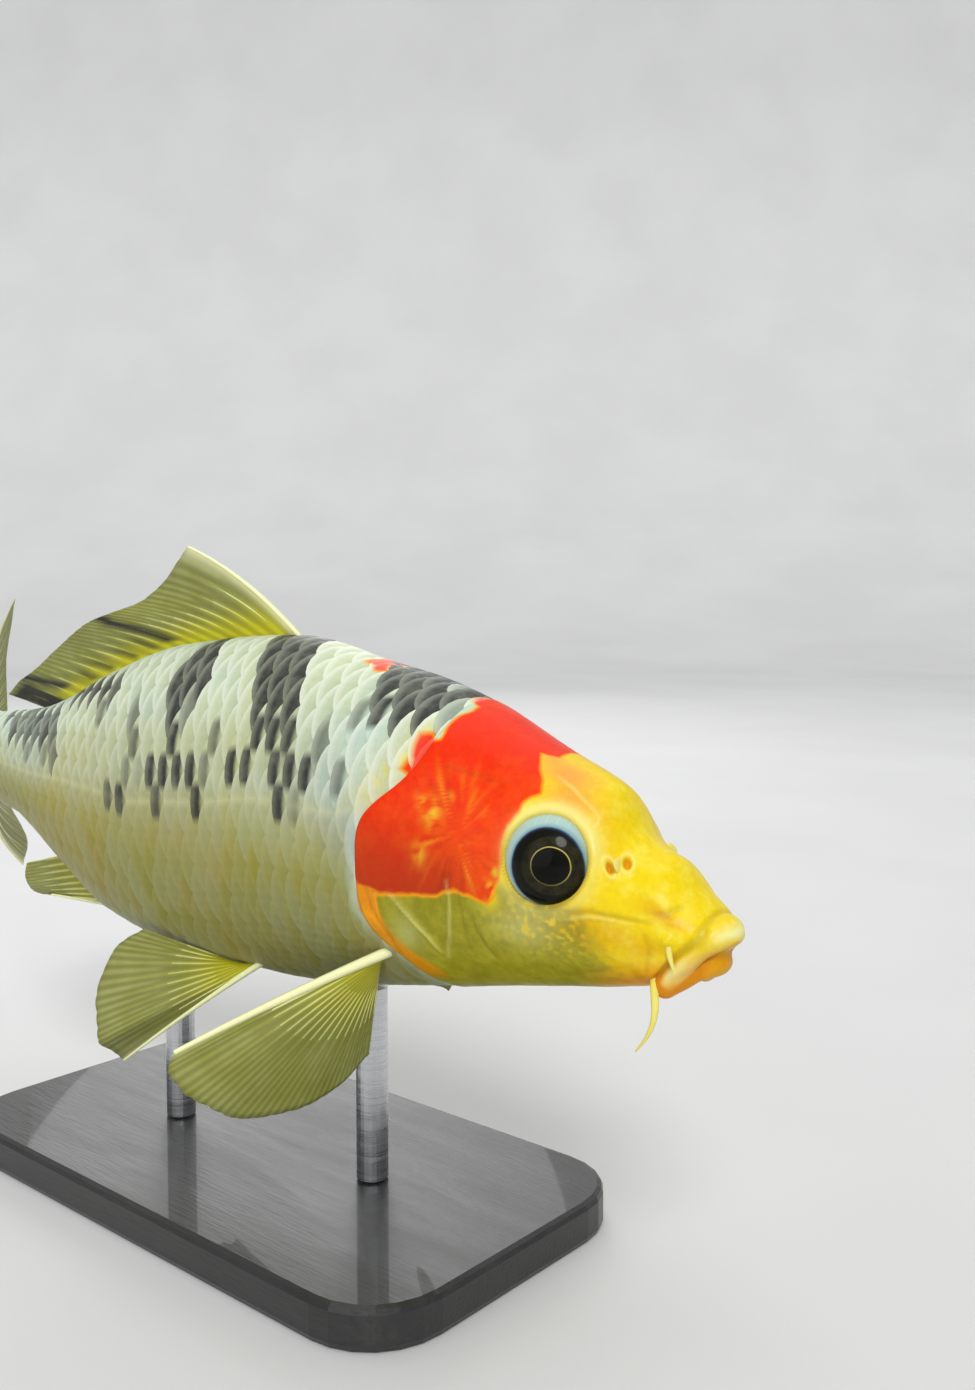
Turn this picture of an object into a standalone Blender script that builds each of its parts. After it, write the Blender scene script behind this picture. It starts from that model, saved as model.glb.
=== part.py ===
# Koi carp, a young fish of about 17 cm, swimming with its tail swept to its own left,
# carried by two short rods on a flat display base. Metres, +Z up, head towards +X,
# the fish's right side towards -Y.
import math

import bmesh
import bpy
import numpy as np
from mathutils import Matrix, Vector

# Driving dimensions
SL = 0.140                 # standard length, snout to the end of the tail stalk
GAP = 0.0003               # clearance between neighbouring solids
SEGMENTS = 32              # points round a body section
HEAD_RINGS = 17
TRUNK_RINGS = 17
STALK_RINGS = 7
FIN_SHEET = 0.0006         # thickness of every fin
PAIRED_SHEET = 0.0007
PAIRED_BOW = 0.0003         # rise of the paired fins' leading rays

MOUTH_DROP = 0.0475        # depth of the mouth opening below the axis at the snout
MOUTH_SLOPE = 0.80         # its fall towards the corner
# Lips from the middle of the snout to the corner: along the body, out, up, radius.
UPPER_LIP = ((0.0085, 0.0, -0.0400, 0.0105), (0.0110, 0.0090, -0.0420, 0.0098),
             (0.0195, 0.0180, -0.0495, 0.0080), (0.0295, 0.0265, -0.0635, 0.0068),
             (0.0385, 0.0310, -0.0770, 0.0060))
LOWER_LIP = ((0.0165, 0.0, -0.0650, 0.0090), (0.0185, 0.0080, -0.0655, 0.0088),
             (0.0250, 0.0150, -0.0690, 0.0078), (0.0335, 0.0210, -0.0755, 0.0078),
             (0.0425, 0.0265, -0.0805, 0.0090))

EYE_AT = (0.131, 0.0485, 0.0015)      # along the body, out to the side, up
EYE_ACROSS = 0.0340
EYE_DEEP = 0.0225
EYE_TURN = 19.0            # degrees that the eye looks forward
EYE_LIFT = 8.0             # degrees that it looks up

COVER_DEPTH = 0.013        # thickness of a gill cover
COVER_FRONT = 0.202
COVER_TOP = 40.0
COVER_BOTTOM = -60.0

BASE_LENGTH = 0.086
BASE_WIDTH = 0.046
BASE_THICK = 0.005
BASE_CORNER = 0.010
BASE_BELOW_AXIS = 0.046    # from the body axis down to the top of the base
ROD_RADIUS = 0.0020
ROD_FRONT_AT = 0.37
ROD_REAR_AT = 0.62

# Half of the box round the whole model lies each side of this point, from the snout back.
CENTRE_X = -0.0803
CENTRE_Y = -0.0027

# Body sections: place along the body, back, belly, widest height, half width,
# roundness above and below. All in standard lengths.
SECTIONS = (
    (0.000, -0.044, -0.044, -0.044, 0.000, 2.0, 2.0),     # snout
    (0.010, -0.031, -0.056, -0.044, 0.022, 1.9, 2.3),
    (0.030, -0.014, -0.076, -0.046, 0.036, 1.8, 2.6),     # mouth corners
    (0.050, 0.0065, -0.085, -0.043, 0.043, 1.8, 2.6),
    (0.065, 0.012, -0.089, -0.0405, 0.0475, 1.8, 2.5),
    (0.080, 0.0213, -0.0925, -0.038, 0.051, 1.8, 2.4),     # nostrils
    (0.100, 0.0541, -0.097, -0.0345, 0.055, 1.84, 2.4),
    (0.124, 0.0655, -0.101, -0.030, 0.060, 1.9, 2.4),     # eyes
    (0.150, 0.0747, -0.106, -0.026, 0.066, 1.96, 2.4),
    (0.180, 0.0867, -0.1115, -0.022, 0.073, 2.0, 2.4),
    (0.210, 0.1004, -0.1178, -0.017, 0.0785, 2.0, 2.4),
    (0.240, 0.1128, -0.1245, -0.012, 0.083, 2.0, 2.4),     # nape
    (0.300, 0.1298, -0.137, -0.002, 0.089, 2.0, 2.3),     # gill opening
    (0.350, 0.1385, -0.146, 0.004, 0.092, 2.0, 2.3),
    (0.460, 0.1587, -0.158, 0.012, 0.091, 2.0, 2.2),     # dorsal fin begins
    (0.600, 0.1463, -0.153, 0.008, 0.077, 2.0, 2.2),
    (0.700, 0.1167, -0.135, 0.002, 0.060, 2.0, 2.1),     # vent
    (0.775, 0.0854, -0.098, 0.002, 0.047, 2.0, 2.0),
    (0.830, 0.0704, -0.068, 0.004, 0.038, 2.0, 2.0),     # dorsal fin ends
    (0.870, 0.0661, -0.053, 0.006, 0.032, 2.0, 2.0),
    (0.950, 0.058, -0.047, 0.005, 0.020, 2.0, 2.0),
    (1.000, 0.060, -0.053, 0.003, 0.010, 2.0, 2.0),     # root of the tail fin
)
# The bend of the backbone: place along the body and its heading in degrees to the left.
BEND = ((0.0, 0.0), (0.27, 0.5), (0.40, -1.5), (0.52, -7.5), (0.65, -7.0), (0.75, -4.0),
        (0.85, 1.5), (0.95, 15.5), (1.05, 35.0), (1.15, 47.0), (1.30, 58.0))


def smooth_through(places, values):
    """A smooth curve through the values that never overshoots them."""
    x = np.array(places, float)
    y = np.array(values, float)
    step = np.diff(x)
    slope = np.diff(y) / step
    tangent = np.zeros_like(y)
    for i in range(1, len(x) - 1):
        if slope[i - 1] * slope[i] > 0:
            a = 2 * step[i] + step[i - 1]
            b = step[i] + 2 * step[i - 1]
            tangent[i] = (a + b) / (a / slope[i - 1] + b / slope[i])
    tangent[0] = slope[0]
    tangent[-1] = slope[-1]

    def curve(q):
        i = int(min(max(np.searchsorted(x, q) - 1, 0), len(step) - 1))
        t = max((q - x[i]) / step[i], 0.0)
        start = (1 + 2 * t) * (1 - t) ** 2 * y[i] + t * (1 - t) ** 2 * step[i] * tangent[i]
        end = t * t * (3 - 2 * t) * y[i + 1] + t * t * (t - 1) * step[i] * tangent[i + 1]
        return float(start + end)
    return curve


COLUMNS = list(zip(*SECTIONS))
ROOTS = [math.sqrt(s) for s in COLUMNS[0]]
PROFILES = [smooth_through(ROOTS, column) for column in COLUMNS[1:]]
HEADING = smooth_through([b[0] for b in BEND], [b[1] for b in BEND])


def trace_axis(steps=260, end=1.3):
    """Walk tailwards from the snout along the bent axis."""
    points = [Vector((0.0, 0.0, 0.0))]
    for i in range(steps):
        angle = math.radians(HEADING((i + 0.5) * end / steps))
        step = Vector((-math.cos(angle), math.sin(angle), 0.0)) * (end / steps)
        points.append(points[-1] + step)
    return points


AXIS = trace_axis()


def place(s, out, up):
    """A point of the body: s along the axis, out to the fish's left, up from the axis."""
    q = min(max(s / 1.3 * 260, 0.0), 259.999)
    i = int(q)
    centre = AXIS[i].lerp(AXIS[i + 1], q - i)
    angle = math.radians(HEADING(min(max(s, 0.0), 1.3)))
    side = Vector((math.sin(angle), math.cos(angle), 0.0))
    point = (centre + side * out + Vector((0, 0, up))) * SL
    return point + Vector((-CENTRE_X, -CENTRE_Y, BASE_THICK + BASE_BELOW_AXIS))


def section(s):
    u = math.sqrt(min(max(s, 0.0), 1.0))
    return [profile(u) for profile in PROFILES]


def skin(s, degrees, grow=0.0):
    """Out and up of the body surface; 0 degrees is the fish's left flank, 90 its back."""
    back, belly, widest, half, round_up, round_down = section(s)
    c = math.cos(math.radians(degrees))
    t = math.sin(math.radians(degrees))
    power = 2.0 / (round_up if t > 0 else round_down)
    reach = (back - widest) if t > 0 else (widest - belly)
    out = (half + grow) * math.copysign(abs(c) ** power, c)
    up = widest + (reach + grow) * math.copysign(abs(t) ** power, t)
    return out, up


def on_skin(s, degrees, grow=0.0):
    out, up = skin(s, degrees, grow)
    return place(s, out, up)


def gill_edge(degrees):
    """Place of the rear edge of the head, swept back over the gill opening."""
    flank = degrees if abs(degrees) <= 90 else math.copysign(180 - abs(degrees), degrees)
    return 0.236 + 0.060 / (1 + ((flank + 7) / 30) ** 4)


def get_collection(name):
    group = bpy.data.collections.new(name)
    bpy.context.scene.collection.children.link(group)
    return group


def make_material(name, colour, roughness, metallic=0.0):
    material = bpy.data.materials.new(name)
    material.use_nodes = True
    shader = material.node_tree.nodes["Principled BSDF"]
    shader.inputs["Base Color"].default_value = (*colour, 1.0)
    shader.inputs["Roughness"].default_value = roughness
    shader.inputs["Metallic"].default_value = metallic
    return material


def keep(obj, group, material=None):
    for owner in list(obj.users_collection):
        owner.objects.unlink(obj)
    group.objects.link(obj)
    if material is not None:
        obj.data.materials.clear()
        obj.data.materials.append(material)
    return obj


def as_cutter(obj, group):
    keep(obj, group)
    obj.hide_render = True
    obj.display_type = "WIRE"
    return obj


def from_grid(name, rows, closed=False, nose=None, tail=None):
    """A surface through rows of points, its ends closed by a point where one is given."""
    mesh = bmesh.new()
    grid = [[mesh.verts.new(p) for p in row] for row in rows]
    count = len(rows[0])
    last = count if closed else count - 1
    for a, b in zip(grid, grid[1:]):
        for j in range(last):
            k = (j + 1) % count
            mesh.faces.new((a[j], b[j], b[k], a[k]))
    for tip, ring in ((nose, grid[0]), (tail, grid[-1])):
        if tip is not None:
            point = mesh.verts.new(tip)
            for j in range(count):
                mesh.faces.new((point, ring[j], ring[(j + 1) % count]))
    bmesh.ops.recalc_face_normals(mesh, faces=mesh.faces)
    data = bpy.data.meshes.new(name)
    mesh.to_mesh(data)
    mesh.free()
    data.shade_smooth()
    return bpy.data.objects.new(name, data)


def body_piece(name, front, rear, rings, nose=None, tail=None):
    """Loft of the body between two edges that may sweep round the section."""
    rows = []
    for i in range(rings + 1):
        ring = []
        for j in range(SEGMENTS):
            degrees = 360.0 * j / SEGMENTS
            if degrees > 180:
                degrees -= 360
            a = math.sqrt(front(degrees))
            b = math.sqrt(rear(degrees))
            ring.append(on_skin((a + (b - a) * i / rings) ** 2, degrees))
        rows.append(ring)
    return from_grid(name, rows, True, nose, tail)


def cut(obj, cutter, operation="DIFFERENCE"):
    step = obj.modifiers.new(operation.title() + " " + cutter.name, "BOOLEAN")
    step.operation = operation
    step.solver = "EXACT"
    step.object = cutter


def solidify(obj, thickness):
    step = obj.modifiers.new("Thickness", "SOLIDIFY")
    step.thickness = thickness
    step.offset = 0.0


def tube(name, points, radii):
    """A solid tube along the points, round in section."""
    data = bpy.data.curves.new(name, "CURVE")
    data.dimensions = "3D"
    data.bevel_depth = 1.0
    data.bevel_resolution = 2
    data.use_fill_caps = True
    line = data.splines.new("POLY")
    line.points.add(len(points) - 1)
    for point, place_at, radius in zip(line.points, points, radii):
        point.co = (*place_at, 1.0)
        point.radius = radius
    curve = bpy.data.objects.new(name + "_path", data)
    bpy.context.scene.collection.objects.link(curve)
    ready = curve.evaluated_get(bpy.context.evaluated_depsgraph_get())
    solid = bpy.data.meshes.new_from_object(ready)
    bpy.data.objects.remove(curve)
    mesh = bmesh.new()
    mesh.from_mesh(solid)
    bmesh.ops.remove_doubles(mesh, verts=mesh.verts, dist=0.00001)
    bmesh.ops.recalc_face_normals(mesh, faces=mesh.faces)
    mesh.to_mesh(solid)
    mesh.free()
    solid.shade_smooth()
    return bpy.data.objects.new(name, solid)


def ball(name, centre, half_sizes, turn, rings=10, segments=20):
    """An ellipsoid with its half sizes along its own axes."""
    mesh = bmesh.new()
    bmesh.ops.create_uvsphere(mesh, u_segments=segments, v_segments=rings, radius=1.0)
    shape = Matrix.Translation(centre) @ turn @ Matrix.Diagonal((*half_sizes, 1.0))
    bmesh.ops.transform(mesh, matrix=shape, verts=mesh.verts)
    data = bpy.data.meshes.new(name)
    mesh.to_mesh(data)
    mesh.free()
    data.shade_smooth()
    return bpy.data.objects.new(name, data)


def cover_block(name, side, grow):
    """The gill cover's outline swept through the cheek."""
    rows = []
    for i in range(9):
        row = []
        for j in range(11):
            low = COVER_BOTTOM - grow * 500
            high = COVER_TOP + grow * 500
            degrees = low + (high - low) * j / 10
            front = COVER_FRONT + 0.018 * ((degrees + 8) / 50) ** 2 - grow
            rear = gill_edge(degrees) + 0.012
            s = front + (rear - front) * i / 8
            row.append(on_skin(s, degrees if side > 0 else 180 - degrees, 0.0))
        rows.append(row)
    block = from_grid(name, rows)
    solidify(block, 2 * (COVER_DEPTH + grow) * SL)
    return block


def mouth_height(s, shift):
    return -MOUTH_DROP - MOUTH_SLOPE * s + shift


def lip(name, spots, grow=0.0, count=17):
    """A lip from the right corner round the snout to the left corner."""
    both = [(s, -out, up, radius) for s, out, up, radius in reversed(spots[1:])] + list(spots)
    fit = [smooth_through(range(len(both)), values) for values in zip(*both)]
    points = []
    radii = []
    for i in range(count):
        s, out, up, radius = (curve((len(both) - 1) * i / (count - 1)) for curve in fit)
        points.append(place(s, out, up))
        radii.append((radius + grow) * SL)
    return tube(name, points, radii)


def jaw_wedge(name, grow):
    """The block below the mouth that holds the lower jaw."""
    corners = ((-0.030, mouth_height(-0.030, grow)), (0.058 + grow, mouth_height(0.058 + grow, grow)),
               (0.070 + grow, -0.125), (-0.030, -0.125))
    rows = []
    for out in (-0.060, 0.060):
        rows.append([place(0.0, out, up) - Vector((s * SL, 0, 0)) for s, up in corners])
    middles = [sum(row, Vector()) / 4 for row in rows]
    return from_grid(name, rows, True, middles[0], middles[1])


def barbel(name, side, root, degrees, reach, thick, count=7):
    """A feeler hanging from the mouth; reach is its end from its root: back, out, down."""
    out, up = skin(root, degrees, thick + GAP / SL)
    points = []
    radii = []
    for i in range(count):
        t = i / (count - 1)
        bend = t * (1 - t) * 0.25
        s = root + reach[0] * t * t
        points.append(place(s, side * (out + reach[1] * t + bend * reach[2]), up - reach[2] * t))
        radii.append(max(thick * SL * (1 - 0.55 * t), 0.00026))
    return tube(name, points, radii)


def fan(name, roots, tips, bow, thickness, steps=5):
    """A fin between its roots and its ray tips; bow bends the foremost rays most."""
    rows = []
    last = len(roots) - 1
    for i, (root, tip) in enumerate(zip(roots, tips)):
        row = []
        for j in range(steps + 1):
            t = j / steps
            share = 4 * t * (1 - t) * (1 - i / last) ** 1.5
            row.append(root.lerp(tip, t) + bow * share)
        rows.append(row)
    sheet = from_grid(name, rows)
    solidify(sheet, thickness)
    return sheet


def dorsal_fin():
    reach = smooth_through((0.0, 0.08, 0.22, 0.62, 0.88, 1.0), (0.141, 0.147, 0.140, 0.115, 0.100, 0.078))
    rise = smooth_through((0.0, 0.08, 0.22, 0.62, 0.88, 1.0), (0.081, 0.050, 0.028, 0.016, 0.014, 0.008))
    roots = []
    tips = []
    for i in range(17):
        k = i / 16
        s = 0.460 + 0.365 * k
        up = section(s)[0] + (GAP + 0.0001) / SL
        roots.append(place(s, 0.0, up))
        tips.append(place(s + reach(k), 0.0, max(up + rise(k), section(s + reach(k))[0] + 0.006)))
    return fan("dorsal_fin", roots, tips, Vector((0.0005, 0.0, 0.0010)), FIN_SHEET, 5)


def anal_fin():
    reach = smooth_through((0.0, 0.18, 0.55, 1.0), (0.112, 0.128, 0.108, 0.080))
    drop = smooth_through((0.0, 0.18, 0.55, 1.0), (0.003, 0.014, 0.022, 0.018))
    roots = []
    tips = []
    for i in range(8):
        k = i / 7
        s = 0.712 + 0.080 * k
        up = section(s)[1] - (GAP + 0.0003) / SL
        roots.append(place(s, 0.0, up))
        tips.append(place(s + reach(k), 0.0, up - drop(k)))
    return fan("anal_fin", roots, tips, Vector(), FIN_SHEET, 5)


def caudal_fin():
    length = smooth_through((0.0, 0.30, 0.62, 0.88, 1.0), (0.092, 0.112, 0.160, 0.197, 0.196))
    spread = smooth_through((0.0, 0.30, 0.62, 0.88, 1.0), (0.0, 0.042, 0.098, 0.160, 0.180))
    rows = []
    for i in range(17):
        k = i / 8 - 1
        size = abs(k)
        row = []
        for j in range(6):
            t = j / 5
            root = 0.003 + 0.056 * k
            tip = math.copysign(spread(size), k) * (1.0 if k > 0 else 0.95)
            up = root + (tip - root) * (t ** 0.92)
            row.append(place(1.0 + GAP * 1.3 / SL + length(size) * t, 0.0, up))
        rows.append(row)
    sheet = from_grid("caudal_fin", rows)
    solidify(sheet, 0.0010)
    return sheet


def paired_fin(name, side, first, last, rays, hub):
    """A fin on the flank. Each ray is back, out and down from its root."""
    roots = []
    tips = []
    fit = [smooth_through([r[0] for r in rays], [r[k] for r in rays]) for k in (1, 2, 3)]
    for i in range(11):
        k = i / 10
        s = first[0] + (last[0] - first[0]) * k
        degrees = first[1] + (last[1] - first[1]) * k
        out, up = skin(s, degrees, hub)
        back, wide, down = (curve(k) for curve in fit)
        roots.append(place(s, side * out, up))
        end = place(s, side * (out + wide), up - down)
        angle = math.radians(HEADING(s))
        tips.append(end + Vector((-math.cos(angle), math.sin(angle), 0)) * back * SL)
    return fan(name, roots, tips, Vector((0.0, 0.0, PAIRED_BOW)), PAIRED_SHEET, 6)


def eye_turn(side):
    turn = Matrix.Rotation(math.radians(-side * EYE_TURN), 4, "Z")
    return turn @ Matrix.Rotation(math.radians(side * EYE_LIFT), 4, "X")


def eye(name, side, grow=0.0):
    centre = place(EYE_AT[0], side * EYE_AT[1], EYE_AT[2])
    wide = (EYE_ACROSS + grow) * SL
    return ball(name, centre, (wide, (EYE_DEEP + grow) * SL, wide), eye_turn(side))


def nasal_flap(name, side, grow=0.0):
    out, up = skin(0.0785, 44, 0.003)
    turn = Matrix.Rotation(math.radians(-side * 20), 4, "Z") @ Matrix.Rotation(math.radians(-35 * side), 4, "X")
    sizes = ((0.0022 + grow) * SL, (0.0085 + grow) * SL, (0.0075 + grow) * SL)
    return ball(name, place(0.0785, side * out, up), sizes, turn, 6, 10)


def stand_base():
    centre = place(0.50, 0.0, 0.0)
    bpy.ops.mesh.primitive_cube_add(size=1.0, location=(centre.x, centre.y, BASE_THICK / 2))
    base = bpy.context.object
    base.name = "stand_base"
    base.data.transform(Matrix.Diagonal((BASE_LENGTH, BASE_WIDTH, BASE_THICK, 1.0)))
    mesh = bmesh.new()
    mesh.from_mesh(base.data)
    upright = [e for e in mesh.edges if abs((e.verts[0].co - e.verts[1].co).z) > 0.001]
    bmesh.ops.bevel(mesh, geom=upright, offset=BASE_CORNER, segments=6, affect="EDGES", profile=0.5)
    mesh.to_mesh(base.data)
    mesh.free()
    edge = base.modifiers.new("Soft top edge", "BEVEL")
    edge.width = 0.0008
    edge.segments = 2
    edge.limit_method = "ANGLE"
    edge.angle_limit = math.radians(60)
    return base


def stand_rod(name, at):
    low = min(section(at + d)[1] for d in (-0.016, 0.0, 0.016))
    top = place(at, 0.0, low) - Vector((0, 0, GAP))
    foot = BASE_THICK + GAP
    bpy.ops.mesh.primitive_cylinder_add(vertices=24, radius=ROD_RADIUS, depth=top.z - foot,
                                        location=(top.x, top.y, (top.z + foot) / 2))
    rod = bpy.context.object
    rod.name = name
    rod.data.shade_smooth()
    rod.data.set_sharp_from_angle(angle=math.radians(40))
    return rod


def main():
    for obj in list(bpy.data.objects):
        bpy.data.objects.remove(obj)
    parts = get_collection("koi_carp")
    cutters = get_collection("koi_carp_cutters")

    flesh = make_material("koi_skin", (0.78, 0.76, 0.66), 0.35)
    red = make_material("koi_red_skin", (0.80, 0.10, 0.02), 0.35)
    gold = make_material("koi_yellow_skin", (0.86, 0.62, 0.08), 0.35)
    web = make_material("koi_fin", (0.74, 0.72, 0.42), 0.45)
    glass = make_material("koi_eye", (0.02, 0.02, 0.03), 0.08)
    board = make_material("stand_board", (0.10, 0.10, 0.11), 0.5)
    steel = make_material("stand_steel", (0.62, 0.63, 0.65), 0.3, 1.0)

    clear = GAP / SL
    rear_pole = 0.262
    whole = body_piece("body_form", lambda d: 0.0004, gill_edge, HEAD_RINGS,
                       place(0.0, 0.0, SECTIONS[0][1]), place(rear_pole, 0.0, -0.005))
    as_cutter(whole, cutters)

    head = body_piece("head", lambda d: 0.0004, gill_edge, HEAD_RINGS,
                      place(0.0, 0.0, SECTIONS[0][1]), place(rear_pole, 0.0, -0.005))
    keep(head, parts, gold)
    cut(head, as_cutter(jaw_wedge("jaw_cut", clear), cutters))
    cut(head, as_cutter(lip("upper_lip_cut", UPPER_LIP, clear), cutters))

    jaw = keep(jaw_wedge("lower_jaw", 0.0), parts, gold)
    cut(jaw, whole, "INTERSECT")
    cut(jaw, as_cutter(lip("lower_lip_form", LOWER_LIP), cutters), "UNION")
    cut(head, as_cutter(lip("lower_lip_cut", LOWER_LIP, clear), cutters))
    cut(jaw, as_cutter(lip("upper_lip_clear", UPPER_LIP, clear), cutters))
    keep(lip("upper_lip", UPPER_LIP), parts, gold)

    for word, side in (("left", 1), ("right", -1)):
        cut(head, as_cutter(cover_block("gill_cut_" + word, side, clear), cutters))
        cover = keep(cover_block("gill_cover_" + word, side, 0.0), parts, red)
        cut(cover, whole, "INTERSECT")
        cut(head, as_cutter(eye("eye_socket_" + word, side, clear), cutters))
        keep(eye("eye_" + word, side), parts, glass)
        cut(head, as_cutter(nasal_flap("nostril_" + word, side, clear * 1.5), cutters))
        keep(nasal_flap("nasal_flap_" + word, side), parts, gold)

    keep(barbel("barbel_short_right", -1, 0.035, 0, (-0.008, 0.001, 0.0195), 0.0026, 5), parts, gold)
    keep(barbel("barbel_short_left", 1, 0.035, 0, (-0.002, 0.004, 0.018), 0.0026, 5), parts, gold)
    keep(barbel("barbel_long_right", -1, 0.051, -35, (0.014, 0.002, 0.060), 0.0042), parts, gold)
    keep(barbel("barbel_long_left", 1, 0.051, -35, (0.050, 0.020, 0.020), 0.0042), parts, gold)

    stalk_at = 0.800
    trunk = body_piece("trunk", lambda d: gill_edge(d) + clear, lambda d: stalk_at, TRUNK_RINGS,
                       place(rear_pole + clear, 0.0, -0.005), place(stalk_at, 0.0, 0.003))
    keep(trunk, parts, flesh)
    stalk = body_piece("tail_stalk", lambda d: stalk_at + clear, lambda d: 1.0, STALK_RINGS,
                       place(stalk_at + clear, 0.0, 0.003), place(1.0, 0.0, 0.003))
    keep(stalk, parts, flesh)

    keep(dorsal_fin(), parts, web)
    keep(anal_fin(), parts, web)
    keep(caudal_fin(), parts, web)
    spread = ((0.0, 0.118, 0.119, 0.077), (0.09, 0.117, 0.125, 0.092), (0.18, 0.102, 0.122, 0.105),
              (0.30, 0.087, 0.107, 0.114), (0.44, 0.074, 0.082, 0.122), (0.62, 0.054, 0.046, 0.123),
              (0.80, 0.037, 0.012, 0.111), (1.0, 0.025, -0.012, 0.084))
    swept = ((0.0, 0.165, 0.075, 0.045), (0.35, 0.150, 0.060, 0.068), (0.7, 0.098, 0.036, 0.078),
             (1.0, 0.048, 0.012, 0.064))
    keep(paired_fin("pectoral_fin_right", -1, (0.285, -40), (0.298, -49), spread, 0.005), parts, web)
    keep(paired_fin("pectoral_fin_left", 1, (0.285, -40), (0.298, -49), swept, 0.005), parts, web)
    fanned = ((0.0, 0.135, 0.041, 0.103), (0.25, 0.132, 0.068, 0.076), (0.5, 0.130, 0.067, 0.038),
              (0.75, 0.122, 0.047, 0.001), (1.0, 0.098, 0.024, -0.022))
    folded = ((0.0, 0.142, 0.030, 0.022), (0.5, 0.138, 0.026, 0.012), (1.0, 0.112, 0.012, 0.000))
    keep(paired_fin("pelvic_fin_right", -1, (0.478, -66), (0.512, -71), fanned, 0.005), parts, web)
    keep(paired_fin("pelvic_fin_left", 1, (0.478, -66), (0.512, -71), folded, 0.005), parts, web)

    keep(stand_base(), parts, board)
    keep(stand_rod("stand_rod_front", ROD_FRONT_AT), parts, steel)
    keep(stand_rod("stand_rod_rear", ROD_REAR_AT), parts, steel)


main()
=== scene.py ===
import math

import bmesh
import bpy
import numpy as np
from mathutils import Matrix, Vector, noise


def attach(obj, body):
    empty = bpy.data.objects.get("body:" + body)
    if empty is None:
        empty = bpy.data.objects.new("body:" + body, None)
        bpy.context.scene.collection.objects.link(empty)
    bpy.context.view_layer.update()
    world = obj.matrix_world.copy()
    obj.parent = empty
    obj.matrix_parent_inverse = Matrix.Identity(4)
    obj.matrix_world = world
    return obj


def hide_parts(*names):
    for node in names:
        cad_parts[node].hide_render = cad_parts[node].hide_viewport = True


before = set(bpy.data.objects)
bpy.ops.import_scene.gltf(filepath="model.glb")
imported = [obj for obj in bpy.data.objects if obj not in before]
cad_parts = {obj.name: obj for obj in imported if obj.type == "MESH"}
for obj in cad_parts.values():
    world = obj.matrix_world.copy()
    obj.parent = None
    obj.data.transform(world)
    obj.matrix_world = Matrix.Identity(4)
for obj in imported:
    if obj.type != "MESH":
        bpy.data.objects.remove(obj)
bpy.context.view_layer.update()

# the fish's form, shared by skin, scales and fins
body = {
    "length": 0.140,                    # snout to the root of the tail fin
    "snout": (0.0803, 0.0027, 0.051),
    # place along the body, back, belly, widest height, half width, roundness above and below
    "sections": (
        (0.000, -0.044, -0.044, -0.044, 0.000, 2.0, 2.0),
        (0.010, -0.031, -0.056, -0.044, 0.022, 1.9, 2.3),
        (0.030, -0.014, -0.076, -0.046, 0.036, 1.8, 2.6),
        (0.050, 0.0065, -0.085, -0.043, 0.043, 1.8, 2.6),
        (0.065, 0.012, -0.089, -0.0405, 0.0475, 1.8, 2.5),
        (0.080, 0.0213, -0.0925, -0.038, 0.051, 1.8, 2.4),
        (0.100, 0.0541, -0.097, -0.0345, 0.055, 1.84, 2.4),
        (0.124, 0.0655, -0.101, -0.030, 0.060, 1.9, 2.4),
        (0.150, 0.0747, -0.106, -0.026, 0.066, 1.96, 2.4),
        (0.180, 0.0867, -0.1115, -0.022, 0.073, 2.0, 2.4),
        (0.210, 0.1004, -0.1178, -0.017, 0.0785, 2.0, 2.4),
        (0.240, 0.1128, -0.1245, -0.012, 0.083, 2.0, 2.4),
        (0.300, 0.1298, -0.137, -0.002, 0.089, 2.0, 2.3),
        (0.350, 0.1385, -0.146, 0.004, 0.092, 2.0, 2.3),
        (0.460, 0.1587, -0.158, 0.012, 0.091, 2.0, 2.2),
        (0.600, 0.1463, -0.153, 0.008, 0.077, 2.0, 2.2),
        (0.700, 0.1167, -0.135, 0.002, 0.060, 2.0, 2.1),
        (0.775, 0.0854, -0.098, 0.002, 0.047, 2.0, 2.0),
        (0.830, 0.0704, -0.068, 0.004, 0.038, 2.0, 2.0),
        (0.870, 0.0661, -0.053, 0.006, 0.032, 2.0, 2.0),
        (0.950, 0.058, -0.047, 0.005, 0.020, 2.0, 2.0),
        (1.000, 0.060, -0.053, 0.003, 0.010, 2.0, 2.0),
    ),
    # heading of the backbone in degrees to the left, snout to tail
    "bend": ((0.0, 0.0), (0.27, 0.5), (0.40, -1.5), (0.52, -7.5), (0.65, -7.0), (0.75, -4.0),
             (0.85, 1.5), (0.95, 15.5), (1.05, 35.0), (1.15, 47.0), (1.30, 58.0)),
    "walkEnd": 1.3,                     # the backbone is followed this far, past the end of the tail fin
    "gillEdge": {"start": 0.236, "bulge": 0.060, "middle": -7, "spread": 30},
    "coatDepth": 0.0018,                # the skin lies this far inside where scales cover it
}
unit = body["length"]
rightSide, leftSide = -1, 1


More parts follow.
